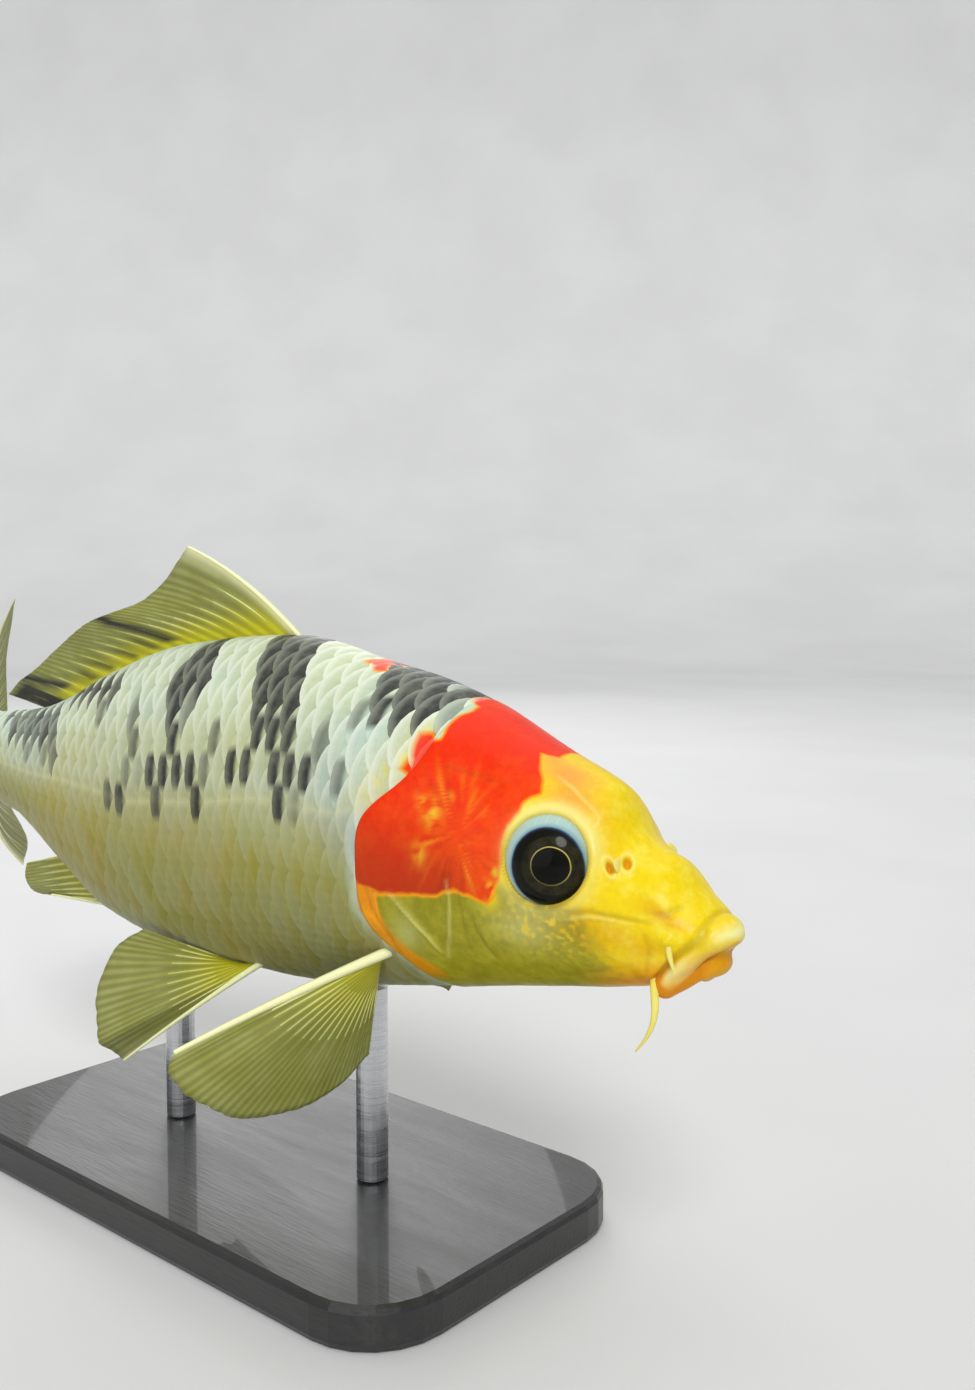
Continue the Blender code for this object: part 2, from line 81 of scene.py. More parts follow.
def smoothCurve(places, values):
    # a curve through all the values that never overshoots them
    x = np.array(places, float)
    y = np.array(values, float)
    step = np.diff(x)
    slope = np.diff(y) / step
    tangent = np.zeros_like(y)
    for i in range(1, len(x) - 1):
        if slope[i - 1] * slope[i] > 0:
            a = 2 * step[i] + step[i - 1]
            b = step[i] + 2 * step[i - 1]
            tangent[i] = (a + b) / (a / slope[i - 1] + b / slope[i])
    tangent[0], tangent[-1] = slope[0], slope[-1]

    def curve(q):
        q = np.asarray(q, float)
        i = np.clip(np.searchsorted(x, q) - 1, 0, len(step) - 1)
        t = np.maximum((q - x[i]) / step[i], 0.0)
        start = (1 + 2 * t) * (1 - t) ** 2 * y[i] + t * (1 - t) ** 2 * step[i] * tangent[i]
        return start + t * t * (3 - 2 * t) * y[i + 1] + t * t * (t - 1) * step[i] * tangent[i + 1]
    return curve


def smoothStep(low, high, x):
    t = np.clip((np.asarray(x, float) - low) / (high - low), 0.0, 1.0)
    return t * t * (3 - 2 * t)


def bump(x, width):
    # 1 at zero, falling off smoothly to both sides
    return np.exp(-(np.asarray(x, float) / width) ** 2)


columns = list(zip(*body["sections"]))
profiles = [smoothCurve(np.sqrt(columns[0]), c) for c in columns[1:]]
heading = smoothCurve([b[0] for b in body["bend"]], [b[1] for b in body["bend"]])
walkSteps = 260
walkEnd = body["walkEnd"]
walkMiddles = np.radians(heading((np.arange(walkSteps) + 0.5) * walkEnd / walkSteps))
walk = np.zeros((walkSteps + 1, 2))
walk[1:, 0] = np.cumsum(-np.cos(walkMiddles)) * walkEnd / walkSteps
walk[1:, 1] = np.cumsum(np.sin(walkMiddles)) * walkEnd / walkSteps


def toWorld(s, out, up):
    # s along the backbone, out to the fish's left, up; all in body lengths
    s, out, up = np.broadcast_arrays(np.asarray(s, float), out, up)
    q = np.clip(s / walkEnd * walkSteps, 0, walkSteps)
    base = np.arange(walkSteps + 1)
    angle = np.radians(heading(np.clip(s, 0, walkEnd)))
    x = np.interp(q, base, walk[:, 0]) + np.sin(angle) * out - np.minimum(s, 0)
    y = np.interp(q, base, walk[:, 1]) + np.cos(angle) * out
    return np.stack([x, y, up], -1) * unit + np.array(body["snout"])


def sectionAt(s):
    u = np.sqrt(np.clip(s, 0.0, 1.0))
    return [p(u) for p in profiles]


def skinAt(s, degrees, grow=0.0):
    # 0 degrees is the left flank, 90 the back, 180 the right flank
    back, belly, widest, half, roundUp, roundDown = sectionAt(s)
    c = np.cos(np.radians(degrees))
    t = np.sin(np.radians(degrees))
    power = 2.0 / np.where(t > 0, roundUp, roundDown)
    reach = np.where(t > 0, back - widest, widest - belly)
    out = (half + grow) * np.sign(c) * np.abs(c) ** power
    up = widest + (reach + grow) * np.sign(t) * np.abs(t) ** power
    return out, up


def onSkin(s, degrees, grow=0.0):
    out, up = skinAt(s, degrees, grow)
    return toWorld(s, out, up)


def turned(flank, side):
    # an angle up from the flank, for either side, as degrees round the section
    return flank if side > 0 else 180 - np.asarray(flank, float)


def flankOf(degrees):
    # the other way: degrees round the section as an angle up from the flank, and which side it is on
    d = np.mod(np.asarray(degrees, float) + 180, 360) - 180
    side = np.where(np.abs(d) <= 90, leftSide, rightSide)
    flank = np.where(np.abs(d) <= 90, d, np.sign(d) * (180 - np.abs(d)))
    return flank, side


def gillEdge(degrees):
    # where the head ends: furthest back just below the middle of the flank
    edge = body["gillEdge"]
    flank = flankOf(degrees)[0]
    return edge["start"] + edge["bulge"] / (1 + ((flank - edge["middle"]) / edge["spread"]) ** 4)


def distanceToLine(points, line):
    # gap from each point to a line of points, and how far along the line it is met, 0 to 1
    best = np.full(len(points), 1e9)
    where = np.zeros(len(points))
    for i, (a, b) in enumerate(zip(line[:-1], line[1:])):
        ab = b - a
        along = np.clip(((points - a) @ ab) / max(ab @ ab, 1e-18), 0, 1)
        gap = np.linalg.norm(points - a - along[:, None] * ab, axis=1)
        closer = gap < best
        best = np.where(closer, gap, best)
        where = np.where(closer, (i + along) / (len(line) - 1), where)
    return best, where


def grain(points, size, seed):
    # smooth noise from -1 to 1 at each point
    shift = Vector((seed * 3.1, seed * 1.7, seed * 2.3))
    return np.array([noise.noise(Vector(p) / size + shift) for p in np.asarray(points).reshape(-1, 3)])


def unitNormals(grid):
    # normals of a grid of points
    normal = np.cross(np.gradient(grid, axis=0), np.gradient(grid, axis=1))
    return normal / np.maximum(np.linalg.norm(normal, axis=2, keepdims=True), 1e-12)


def paint(mesh, name, values):
    # stores a number or a vector at each point of a mesh
    values = np.asarray(values, np.float32)
    wide = values.ndim > 1 and values.shape[-1] == 3
    layer = mesh.attributes.new(name, "FLOAT_VECTOR" if wide else "FLOAT", "POINT")
    layer.data.foreach_set("vector" if wide else "value", values.ravel())


def newMesh(name, points, faces=(), edges=()):
    mesh = bpy.data.meshes.new(name)
    mesh.from_pydata([tuple(p) for p in points], edges, [tuple(int(i) for i in f) for f in faces])
    mesh.update()
    return mesh


def show(name, data):
    # puts a mesh, a lamp or a lens in the scene
    obj = bpy.data.objects.new(name, data)
    bpy.context.scene.collection.objects.link(obj)
    return obj


def turnOutwards(mesh, recount=False):
    # turns a closed mesh's faces outwards
    solid = bmesh.new()
    solid.from_mesh(mesh)
    if recount:
        bmesh.ops.recalc_face_normals(solid, faces=solid.faces)
    inside = solid.calc_volume(signed=True) < 0
    if inside:
        bmesh.ops.reverse_faces(solid, faces=solid.faces)
    if inside or recount:
        solid.to_mesh(mesh)
    solid.free()


def newPiece(name, points, faces, masks):
    mesh = newMesh(name, points, faces)
    turnOutwards(mesh)
    for key, values in masks.items():
        paint(mesh, key, values)
    mesh.shade_smooth()
    return show(name, mesh)


def gridFaces(rows, columns, closed):
    count = columns if closed else columns - 1
    i, j = np.meshgrid(np.arange(rows - 1), np.arange(count), indexing="ij")
    k = (j + 1) % columns
    faces = np.stack([i * columns + j, (i + 1) * columns + j, (i + 1) * columns + k, i * columns + k], -1)
    return faces.reshape(-1, 4)


def capFaces(row, columns, point, first):
    # a fan from one point to a ring of a grid
    ring = row * columns + np.arange(columns)
    after = row * columns + (np.arange(columns) + 1) % columns
    order = (ring, after) if first else (after, ring)
    return [(point, int(a), int(b)) for a, b in zip(*order)]


def tubeFaces(rings, sides, total):
    # faces of a closed grid whose two end points follow its own points
    faces = [tuple(f) for f in gridFaces(rings, sides, True)]
    return faces + capFaces(0, sides, total, True) + capFaces(rings - 1, sides, total + 1, False)


def finishPiece(obj, slotName, *nodes):
    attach(obj, "root")
    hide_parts(*nodes)


def shell(middle, thick):
    # a closed thin wall round a grid of middle points; thick is its half thickness at each
    n, m = middle.shape[:2]
    half = thick[..., None] * unitNormals(middle)
    points = np.concatenate([(middle + half).reshape(-1, 3), (middle - half).reshape(-1, 3)])
    top = gridFaces(n, m, False)
    bottom = top[:, ::-1] + n * m
    rim = [i * m for i in range(n)] + [(n - 1) * m + j for j in range(1, m)]
    rim += [i * m + m - 1 for i in range(n - 2, -1, -1)] + [j for j in range(m - 2, 0, -1)]
    rim = np.array(rim)
    nextRim = np.roll(rim, -1)
    edge = np.stack([nextRim, rim, rim + n * m, nextRim + n * m], -1)
    return points, np.concatenate([top, bottom, edge])


# markings, as outlines on the flank: place along the body, degrees up from the flank
markings = {
    "redCap": ((.150, 95), (.150, 79), (.157, 76), (.163, 74), (.155, 64), (.148, 56), (.145, 50),
               (.151, 46), (.156, 41), (.157, 36), (.161, 29), (.163, 22), (.163, 13), (.163, 6),
               (.168, -1), (.173, -4), (.180, -4), (.194, -3), (.202, -2), (.216, -6), (.232, -8),
               (.252, -10), (.270, -12), (.284, -12), (.310, -9), (.312, 12), (.284, 16), (.273, 24),
               (.265, 29), (.260, 34), (.256, 38), (.260, 40), (.256, 44), (.259, 48), (.248, 51),
               (.241, 48), (.235, 50), (.235, 54), (.236, 61), (.234, 66), (.228, 74), (.229, 80),
               (.240, 82), (.249, 95)),
    "redSpot": ((.361, 82), (.360, 88), (.363, 96), (.340, 90), (.332, 79), (.342, 76)),
    "nape": ((.345, 95), (.330, 84), (.339, 80), (.337, 72), (.325, 71), (.319, 61), (.313, 54),
             (.305, 52), (.303, 42), (.298, 42), (.297, 55), (.289, 54), (.280, 52), (.271, 58),
             (.261, 55), (.252, 55), (.245, 63), (.239, 76), (.243, 88), (.262, 95)),
    "saddle": ((.481, 82), (.471, 61), (.466, 53), (.454, 45), (.451, 38), (.448, 30), (.441, 24),
               (.439, 13), (.431, 13), (.426, 19), (.417, 17), (.412, 13), (.402, 9), (.404, 3),
               (.399, 1), (.380, 2), (.371, 6), (.365, 12), (.358, 8), (.351, 8), (.347, 14),
               (.346, 23), (.356, 27), (.349, 34), (.360, 32), (.371, 27), (.378, 30), (.377, 38),
               (.384, 42), (.384, 46), (.392, 49), (.394, 55), (.404, 64), (.411, 72), (.425, 95),
               (.455, 95)),
    "smoke": ((.338, 33), (.333, 18), (.306, 20), (.292, 28), (.292, 36), (.311, 34)),
    "stripe": ((.569, 70), (.570, 59), (.568, 47), (.563, 37), (.558, 30), (.546, 20), (.541, 16),
               (.538, 20), (.538, 26), (.534, 32), (.531, 38), (.521, 42), (.520, 48), (.527, 56),
               (.533, 66), (.540, 88), (.556, 88)),
    "rearPatch": ((.662, 70), (.688, 71), (.705, 66), (.739, 69), (.736, 57), (.693, 44), (.670, 46),
                  (.655, 44), (.657, 54)),
    "drip": ((.598, 36), (.611, 34), (.615, 29), (.616, 22), (.620, 16), (.623, 10), (.614, 7),
             (.606, 12), (.592, 8), (.598, 14), (.604, 17), (.603, 24), (.601, 30)),
    "tailPatch": ((.784, 76), (.837, 88), (.884, 68), (.877, 50), (.855, 34), (.807, 26), (.764, 26),
                  (.743, 14), (.728, 8), (.730, 20), (.746, 30), (.740, 42)),
    # single dark scales: place, height, strength
    "flecks": ((.546, 12, 1.), (.536, 13, .9), (.513, 12, 1.), (.494, 12, .6), (.566, 9, 1.),
               (.561, 4, .9), (.504, 2, 1.), (.556, -2, .6), (.619, 0, .9), (.638, 0, .7),
               (.623, -8, .8), (.486, 26, .7), (.454, 14, 1.), (.389, -2, .9), (.322, 42, .7),
               (.303, 45, .8), (.601, 12, .8), (.674, 39, .7), (.806, 30, .6), (.760, 22, .6)),
    # black shapes in the order they are drawn: name, raggedness, strength
    "bars": (("nape", .003, 1.), ("saddle", .004, 1.), ("smoke", .008, .62), ("stripe", .003, .95),
             ("rearPatch", .005, .85), ("drip", .002, .85), ("tailPatch", .006, .75)),
    "leftShift": 0.020,                 # the left flank's markings wander by this much
    # where the yellow of the snout ends: degrees up from the flank, place along the body
    "goldEnd": ((-90, .062), (-60, .068), (-35, .079), (-12, .086), (-2, .093), (6, .104), (14, .118),
                (24, .140), (36, .150), (50, .152), (60, .143), (76, .136), (90, .132)),
    # clear spots in the red: place, height, size, strength
    "mottles": ((.225, 21, .009, .75), (.236, 24, .005, .6), (.233, 5, .007, .6), (.212, 30, .004, .4),
                (.170, 0, .006, 1.), (.166, 8, .004, .8)),
    # soft spots of colour on the head: strength, place, height, size, stretch along the body
    "amberSpots": ((.55, .040, 26, .011, 1.5), (.45, .050, -8, .014, 1.3)),
    "blushSpots": ((1., .134, 68, .022, 1.2), (.85, .122, 56, .019, 1.3), (.9, .150, 74, .014, 1.)),
    # pale chalky spots; the first, on top of the snout, is a painted highlight
    "chalkAndHighlightSpots": ((.55, .035, 78, .016, 1.), (.55, .250, -26, .012, 1.1), (.6, .139, 43, .0075, 1.6),
                   (.8, .243, 82, .006, 1.)),
}
degreeWidth = 0.00155                   # a degree round the flank, in body lengths


def insideBy(s, flank, outline, ragged, seed):
    # how far inside an outline with a ragged edge each place is, in body lengths
    p = np.stack([s, flank * degreeWidth], -1)
    corners = np.array(outline, float) * (1, degreeWidth)
    after = np.roll(corners, -1, axis=0)
    best = np.full(len(p), 1e9)
    crossings = np.zeros(len(p), int)
    for a, b in zip(corners, after):
        ab = b - a
        along = np.clip(((p - a) @ ab) / (ab @ ab), 0, 1)
        best = np.minimum(best, np.linalg.norm(p - a - along[:, None] * ab, axis=1))
        straddles = (a[1] > p[:, 1]) != (b[1] > p[:, 1])
        safe = np.where(straddles, b[1] - a[1], 1.0)
        crossings += straddles & (p[:, 0] < a[0] + (p[:, 1] - a[1]) * ab[0] / np.where(safe == 0, 1, safe))
    depth = np.where(crossings % 2 == 1, best, -best)
    spots = np.concatenate([p, np.full((len(p), 1), seed * 0.37)], 1)
    return depth + ragged * (grain(spots, 0.016, seed) + 0.5 * grain(spots, 0.007, seed + 5))


def inkAt(s, flank, side):
    # grey-black markings, 0 to 1; the left side carries the same bands, moved and redrawn
    low = np.clip((85 - flank) / 40, 0, 1)
    wander = np.where(side > 0, markings["leftShift"] * low * np.sin(flank * 0.09 + s * 9 + 0.6), 0)
    x = s + wander
    y = flank + np.where(side > 0, 9 * low * np.sin(s * 21), 0)
    ink = np.zeros(len(s))
    for i, (name, ragged, strength) in enumerate(markings["bars"]):
        depth = insideBy(x, y, markings[name], ragged, i + 1)
        ink = np.maximum(ink, strength * smoothStep(-.004, .003, depth))
    for at, high, strength in markings["flecks"]:
        far = np.hypot((x - at) / .0085, (y - high) / 6.5)
        ink = np.maximum(ink, strength * (1 - smoothStep(.6, 1.1, far)))
    return ink


def patch(s, flank, at, high, size, stretch=1.0):
    # a soft round spot of colour on the flank
    return bump(np.hypot((s - at) / stretch, (flank - high) * degreeWidth), size)


def addSpots(mask, s, flank, spots):
    for strength, *spot in spots:
        mask = np.maximum(mask, strength * patch(s, flank, *spot))
    return mask


def colourMasks(s, flank, side):
    # every colour of the skin as a mask over the body
    back = s - gillEdge(flank)
    head = 1 - smoothStep(-.001, .002, back)
    depth = insideBy(s, flank, markings["redCap"], .0016, 9)
    # red fades outwards through an orange fringe
    red = smoothStep(-.0045, .0035, depth)
    red *= np.where(flank < 30, 1 - smoothStep(-.0005, .0020, back), 1)
    spot = smoothStep(-.003, .003, insideBy(s, flank, markings["redSpot"], .002, 11))
    red = np.maximum(red, np.where(side > 0, 0, spot))
    deep = np.zeros(len(s)) + smoothStep(22, -8, flank) * smoothStep(.16, .22, s) * .8
    mottle = np.zeros(len(s))
    spots = np.stack([s, flank * degreeWidth, side * .3], -1)
    speckle = .5 + .5 * grain(spots, .0045, 21)
    clear = smoothStep(.30, .62, speckle)
    for at, high, size, strength in markings["mottles"]:
        mottle = np.maximum(mottle, strength * patch(s, flank, at, high, size) * clear)
    # fine rays spread from the middle of the cheek
    dx, dy = s - .200, (flank - 17) * degreeWidth
    far = np.hypot(dx, dy)
    turn = np.arctan2(dy, dx)
    rays = grain(np.stack([turn * .030, far * .12, side * .2], -1), .0042, 31)
    mottle = np.maximum(mottle, .42 * smoothStep(.1, .75, rays) * bump(far - .026, .022) * (dx > -.02))
    deep = np.clip(deep + .35 * smoothStep(.0, .7, -rays) * bump(far - .028, .024), 0, 1)
    end = np.interp(flank, *zip(*markings["goldEnd"]))
    edgeNoise = grain(spots, .018, 41) * .010 + grain(spots, .006, 42) * .005
    gold = 1 - smoothStep(-.013, .013, s - end + edgeNoise)
    gold = np.maximum(gold, .9 * patch(s, flank, .170, -2, .007) * head)
    gold = np.maximum(gold, head * smoothStep(-2, 8, flank))
    amber = .9 * patch(s, flank, .036, -38, .030, 1.2)
    amber += .75 * smoothStep(-30, -62, flank) * (1 - smoothStep(.07, .12, s))
    amber = addSpots(amber, s, flank, markings["amberSpots"])
    # the amber band along the rear edge of the gill cover
    rim = smoothStep(-.0230, -.0170, back) * (back < .004)
    rim *= smoothStep(-60, -44, flank) * (1 - smoothStep(-9, 10, flank))
    amber = np.maximum(amber, rim * .85)
    red = np.maximum(red, rim * .52 * smoothStep(-36, -16, flank))
    amber = np.maximum(amber, .5 * patch(s, flank, .079, 42, .006) * (s > .079))
    blush = addSpots(0, s, flank, markings["blushSpots"])
    blush *= 1 - .5 * patch(s, flank, .143, 58, .006)
    # pearl again where the nape's scales begin
    nape = smoothStep(.222, .236, s) * smoothStep(40, 50, flank)
    gold *= 1 - nape
    # pale chalky patches, and a painted highlight on top of the snout
    chalkandhighlight = .70 * patch(s, flank, .143, -12, .017, 1.5) * (.6 + .8 * speckle)
    chalkandhighlight = addSpots(chalkandhighlight, s, flank, markings["chalkAndHighlightSpots"])
    # gold veins on the shoulder
    shoulder = bump(back - .014, .020) * (back > -.002)
    shoulder *= smoothStep(2, 22, flank) * (1 - smoothStep(48, 64, flank))
    veins = bump(grain(spots, .0042, 77), .15)
    gold = np.maximum(gold, shoulder * np.maximum(.20 + .30 * speckle, .85 * veins))
    # gold and brown flecks under the eye
    under = patch(s, flank, .120, -8, .026, 1.6) * head
    gold = np.maximum(gold, .80 * under * smoothStep(.50, .72, speckle))
    amber = np.maximum(amber, .26 * under * bump(grain(spots, .0060, 78), .20))
    amber = np.maximum(amber, .40 * patch(s, flank, .080, -5, .020, 1.4) * (.5 + speckle))
    # yellow belly and the warmer middle of the flank
    trunk = smoothStep(.0, .02, back)
    belly = .95 * smoothStep(30, -18, flank) * trunk * (1 - .15 * smoothStep(-40, -75, flank))
    middle = smoothStep(44, 14, flank) * trunk * smoothStep(.26, .40, s)
    belly = np.maximum(belly, .34 * middle)
    gold = np.maximum(gold, .09 * middle * (1 - smoothStep(-8, -30, flank)))
    masks = {"red": red, "deep": deep, "mottle": mottle, "gold": gold, "amber": amber, "blush": blush,
             "olive": head * (1 - nape), "chalkandhighlight": chalkandhighlight, "belly": belly}
    for key in ("mottle", "amber", "chalkandhighlight"):
        masks[key] = np.clip(masks[key], 0, 1)
    return masks


# nodes used by every material and node tree
class Pen:
    # writes nodes into one tree; most methods return the socket that carries the result
    def __init__(self, tree):
        self.tree = tree

    def node(self, kind, **settings):
        made = self.tree.nodes.new(kind)
        for name, value in settings.items():
            setattr(made, name, value)
        return made

    def join(self, value, socket):
        # a socket is linked; a number, a name, a colour or a vector is set
        if isinstance(value, (int, float, str)):
            socket.default_value = value
        elif isinstance(value, tuple):
            socket.default_value = (*value, 1.0)[:len(socket.default_value)]
        else:
            self.tree.links.new(value, socket)

    def fill(self, node, inputs):
        for name, value in inputs.items():
            self.join(value, node.inputs[name])

    def step(self, kind, inputs, result=0, **settings):
        made = self.node(kind, **settings)
        self.fill(made, inputs)
        return made.outputs[result]

    def mask(self, name):
        return self.step("ShaderNodeAttribute", {}, "Fac", attribute_name=name)

    def place(self):
        return self.step("ShaderNodeTexCoord", {}, "Object")

    def math(self, kind, *values, clamp=False):
        return self.step("ShaderNodeMath", dict(enumerate(values)), operation=kind, use_clamp=clamp)

    def times(self, a, b, clamp=False):
        return self.math("MULTIPLY", a, b, clamp=clamp)

    def plus(self, a, b, clamp=False):
        return self.math("ADD", a, b, clamp=clamp)

    def timesPlus(self, a, b, c):
        return self.math("MULTIPLY_ADD", a, b, c)

    def mix(self, factor, a, b, blend="MIX"):
        # inputs 0, 6 and 7 are the factor and the two colours
        return self.step("ShaderNodeMix", {0: factor, 6: a, 7: b}, 2, data_type="RGBA", blend_type=blend)

    def ramp(self, factor, stops):
        made = self.node("ShaderNodeValToRGB")
        items = made.color_ramp.elements
        while len(items) > 1:
            items.remove(items[-1])
        for i, (at, colour) in enumerate(stops):
            item = items.new(at) if i else items[0]
            item.position = at
            item.color = (*(colour if isinstance(colour, tuple) else (colour,) * 3), 1.0)
        self.join(factor, made.inputs["Fac"])
        return made.outputs["Color"]

    def fade(self, factor, low, high, start=0., end=1.):
        return self.ramp(factor, ((low, start), (high, end)))

    def noise(self, size, detail, rough, vector=None, distortion=0.0):
        inputs = {"Scale": size, "Detail": detail, "Roughness": rough, "Distortion": distortion,
                  "Vector": self.place() if vector is None else vector}
        return self.step("ShaderNodeTexNoise", inputs, "Fac")

    def bump(self, shader, height, strength, distance):
        inputs = {"Strength": strength, "Distance": distance, "Height": height}
        self.join(self.step("ShaderNodeBump", inputs, "Normal"), shader.inputs["Normal"])


def newMaterial(name):
    material = bpy.data.materials.new(name)
    material.use_nodes = True
    return material, Pen(material.node_tree), material.node_tree.nodes["Principled BSDF"]


def newTree(name, kind, inputs, outputs):
    # a node group and its pen, what it is given and where its results go
    tree = bpy.data.node_groups.new(name, kind)
    for way, sockets in (("INPUT", inputs), ("OUTPUT", outputs)):
        for label, sort in sockets:
            tree.interface.new_socket(label, in_out=way, socket_type="NodeSocket" + sort)
    pen = Pen(tree)
    return tree, pen, pen.node("NodeGroupInput").outputs, pen.node("NodeGroupOutput").inputs


koiColours = {
    "pearl": (0.60, 0.72, 0.54), "pearlBlue": (0.44, 0.60, 0.60), "pearlYellow": (0.62, 0.66, 0.30),
    "belly": (0.25, 0.225, 0.006), "bellyPink": (0.30, 0.235, 0.018),
    "red": (0.92, 0.030, 0.001), "redLight": (0.97, 0.085, 0.002), "redDeep": (0.48, 0.036, 0.001),
    "fringe": (0.93, 0.36, 0.006), "gold": (0.92, 0.68, 0.003), "goldLight": (0.95, 0.78, 0.06),
    "amber": (0.74, 0.27, 0.002), "blush": (0.95, 0.40, 0.06), "olive": (0.40, 0.36, 0.020),
    "oliveDark": (0.30, 0.28, 0.010), "chalkandhighlight": (0.56, 0.57, 0.20),
    # creaseshade is painted shade for creases, the mouth slit and the socket edges
    "ink": (0.036, 0.038, 0.034), "inkLight": (0.105, 0.108, 0.085), "creaseshade": (0.24, 0.10, 0.006),
}
paintMasks = ("Red", "Deep", "Mottle", "Gold", "Amber", "Blush", "Olive", "ChalkAndHighlight", "Belly", "Ink", "CreaseShade")


# wide, fine, tiny and patchy noise of the paint: size, detail, roughness
koiGrains = ((70, 3, .55), (420, 3, .6), (1500, 2, .5), (34, 2, .5))


def makeSkinPaint():
    # the fish's colours from its masks, shared by skin and scales
    sockets = [(name, "Float") for name in paintMasks] + [("Place", "Vector")]
    group, pen, given, result = newTree("koiPaint", "ShaderNodeTree", sockets,
                                        (("Color", "Color"), ("Grain", "Float")))
    wide, fine, tiny, patchy = (pen.noise(*spec, given["Place"]) for spec in koiGrains)
    c = koiColours

    def over(base, mask, colour):
        return pen.mix(given[mask], base, colour)

    def between(noise, low, high, a, b):
        return pen.mix(pen.fade(noise, low, high), c[a], c[b])
    base = between(wide, .42, .60, "pearl", "pearlBlue")
    base = pen.mix(pen.fade(patchy, .48, .62, 0., .7), base, c["pearlYellow"])
    base = over(base, "Belly", between(wide, .44, .62, "belly", "bellyPink"))
    base = over(base, "Olive", between(fine, .40, .62, "olive", "oliveDark"))
    # pale chalky patches, with a painted highlight on top of the snout
    base = over(base, "ChalkAndHighlight", c["chalkandhighlight"])
    base = over(base, "Gold", between(fine, .45, .68, "gold", "goldLight"))
    base = over(base, "Blush", c["blush"])
    base = over(base, "Amber", c["amber"])
    redTone = pen.plus(pen.times(wide, .6), pen.times(fine, .4))
    red = between(redTone, .44, .62, "red", "redLight")
    red = over(red, "Deep", c["redDeep"])
    red = over(red, "Mottle", pen.mix(given["Mottle"], c["fringe"], c["goldLight"]))
    red = pen.mix(pen.fade(given["Red"], .45, .80), c["fringe"], red)
    base = pen.mix(pen.fade(given["Red"], .18, .42), base, red)
    base = over(base, "Ink", between(fine, .44, .68, "ink", "inkLight"))
    base = pen.mix(1.0, base, pen.fade(tiny, .30, .60, .94, 1.), "MULTIPLY")
    # painted shade in creases, the mouth slit, the socket edges and under the gill cover's edge
    pen.join(over(base, "CreaseShade", c["creaseshade"]), result["Color"])
    pen.join(pen.plus(pen.times(fine, .7), pen.times(tiny, .3)), result["Grain"])
    return group


skinPaint = makeSkinPaint()


def paintNode(pen, **given):
    # the shared paint, fed from a piece's own masks unless a socket is given
    node = pen.node("ShaderNodeGroup", node_tree=skinPaint)
    pen.join(pen.place(), node.inputs["Place"])
    for name in paintMasks:
        pen.join(given.get(name) or pen.mask(name.lower()), node.inputs[name])
    return node.outputs["Color"], node.outputs["Grain"]


# skin: one closed surface from lips to tail
skin = {
    "headRows": 230, "trunkRows": 88, "around": 288,
    # lips from the middle of the snout to the corner: along the body, out, up, radius
    "upperLip": ((.0085, .0000, -.0402, .0094), (.0110, .0090, -.0422, .0088), (.0195, .0180, -.0497, .0074),
                 (.0290, .0265, -.0632, .0062), (.0385, .0298, -.0765, .0040)),
    "lowerLip": ((.0165, .0000, -.0650, .0092), (.0185, .0080, -.0655, .0090), (.0250, .0150, -.0690, .0080),
                 (.0335, .0210, -.0755, .0080), (.0425, .0265, -.0805, .0090)),
    "slitDepth": 0.0060, "slitWidth": 0.0022,
    "eyeAt": (0.131, 0.0485, 0.0015), "eyeAcross": 0.0340, "eyeDeep": 0.0225,
    "eyeTurn": 19.0, "eyeLift": 8.0, "rimHeight": 0.0020, "rimWidth": 0.0042,
    "gillStep": 0.0022,
    # each nostril opening: the ends of its long and of its short axis on the skin, and its depth
    "nostrils": ((((.0850, 43.2), (.0814, 36.2)), ((.0862, 38.0), (.0806, 42.2)), .0046),
                 (((.0766, 56.4), (.0722, 46.6)), ((.0774, 49.4), (.0712, 54.2)), .0034)),
    # where a barbel leaves the skin: place, height, width of its pad
    "pads": ((.0500, -32, .0085), (.0350, 2, .0050)), "padHeight": .0032,
    "shine": {"Specular IOR Level": 0.14, "Subsurface Weight": 0.12, "Subsurface Radius": (1.0, 0.40, 0.10),
              "Subsurface Scale": 0.0010, "Coat Weight": 0.07, "Coat Roughness": 0.10},
    # creases and ridges of the cheek: outline on the flank, height, width, painted shade in the groove (below
    # 0 a painted highlight on the ridge)
    "folds": (
        (((.208, -1), (.205, -6), (.206, -14), (.209, -24), (.217, -38)), .0014, .0020, -.50),
        (((.198, -1), (.196, -10), (.195, -20), (.193, -32)), -.0012, .0018, .45),
        (((.262, -11), (.245, -18), (.230, -26), (.222, -34)), .0015, .0024, -.75),
        (((.188, -10), (.184, -18), (.178, -28), (.172, -36)), -.0012, .0020, .50),
        (((.126, -3), (.102, 2), (.090, 6), (.079, 9), (.068, 11), (.053, 13), (.046, 14)),
         -.0010, .0022, .45),
        (((.126, -6), (.102, -1), (.090, 3), (.079, 6), (.060, 9)), .0010, .0018, -.50),
        (((.048, 22), (.037, 30), (.031, 49)), -.0012, .0030, .35),
        (((.286, -10), (.283, -18), (.275, -24), (.267, -30), (.262, -40)), -.0010, .0018, .55),
        (((.052, 4), (.047, -6), (.049, -20), (.051, -32)), -.0012, .0030, .30),
        (((.066, -30), (.090, -40), (.126, -48)), -.0007, .0032, .15),
        (((.140, 64), (.125, 61), (.112, 57), (.098, 54)), .0006, .0018, -.60),
        (((.230, 14), (.236, 26), (.233, 34)), -.0006, .0020, .0),
        (((.176, 45), (.190, 44), (.208, 42), (.226, 40)), -.0009, .0022, .30),
    ),
}


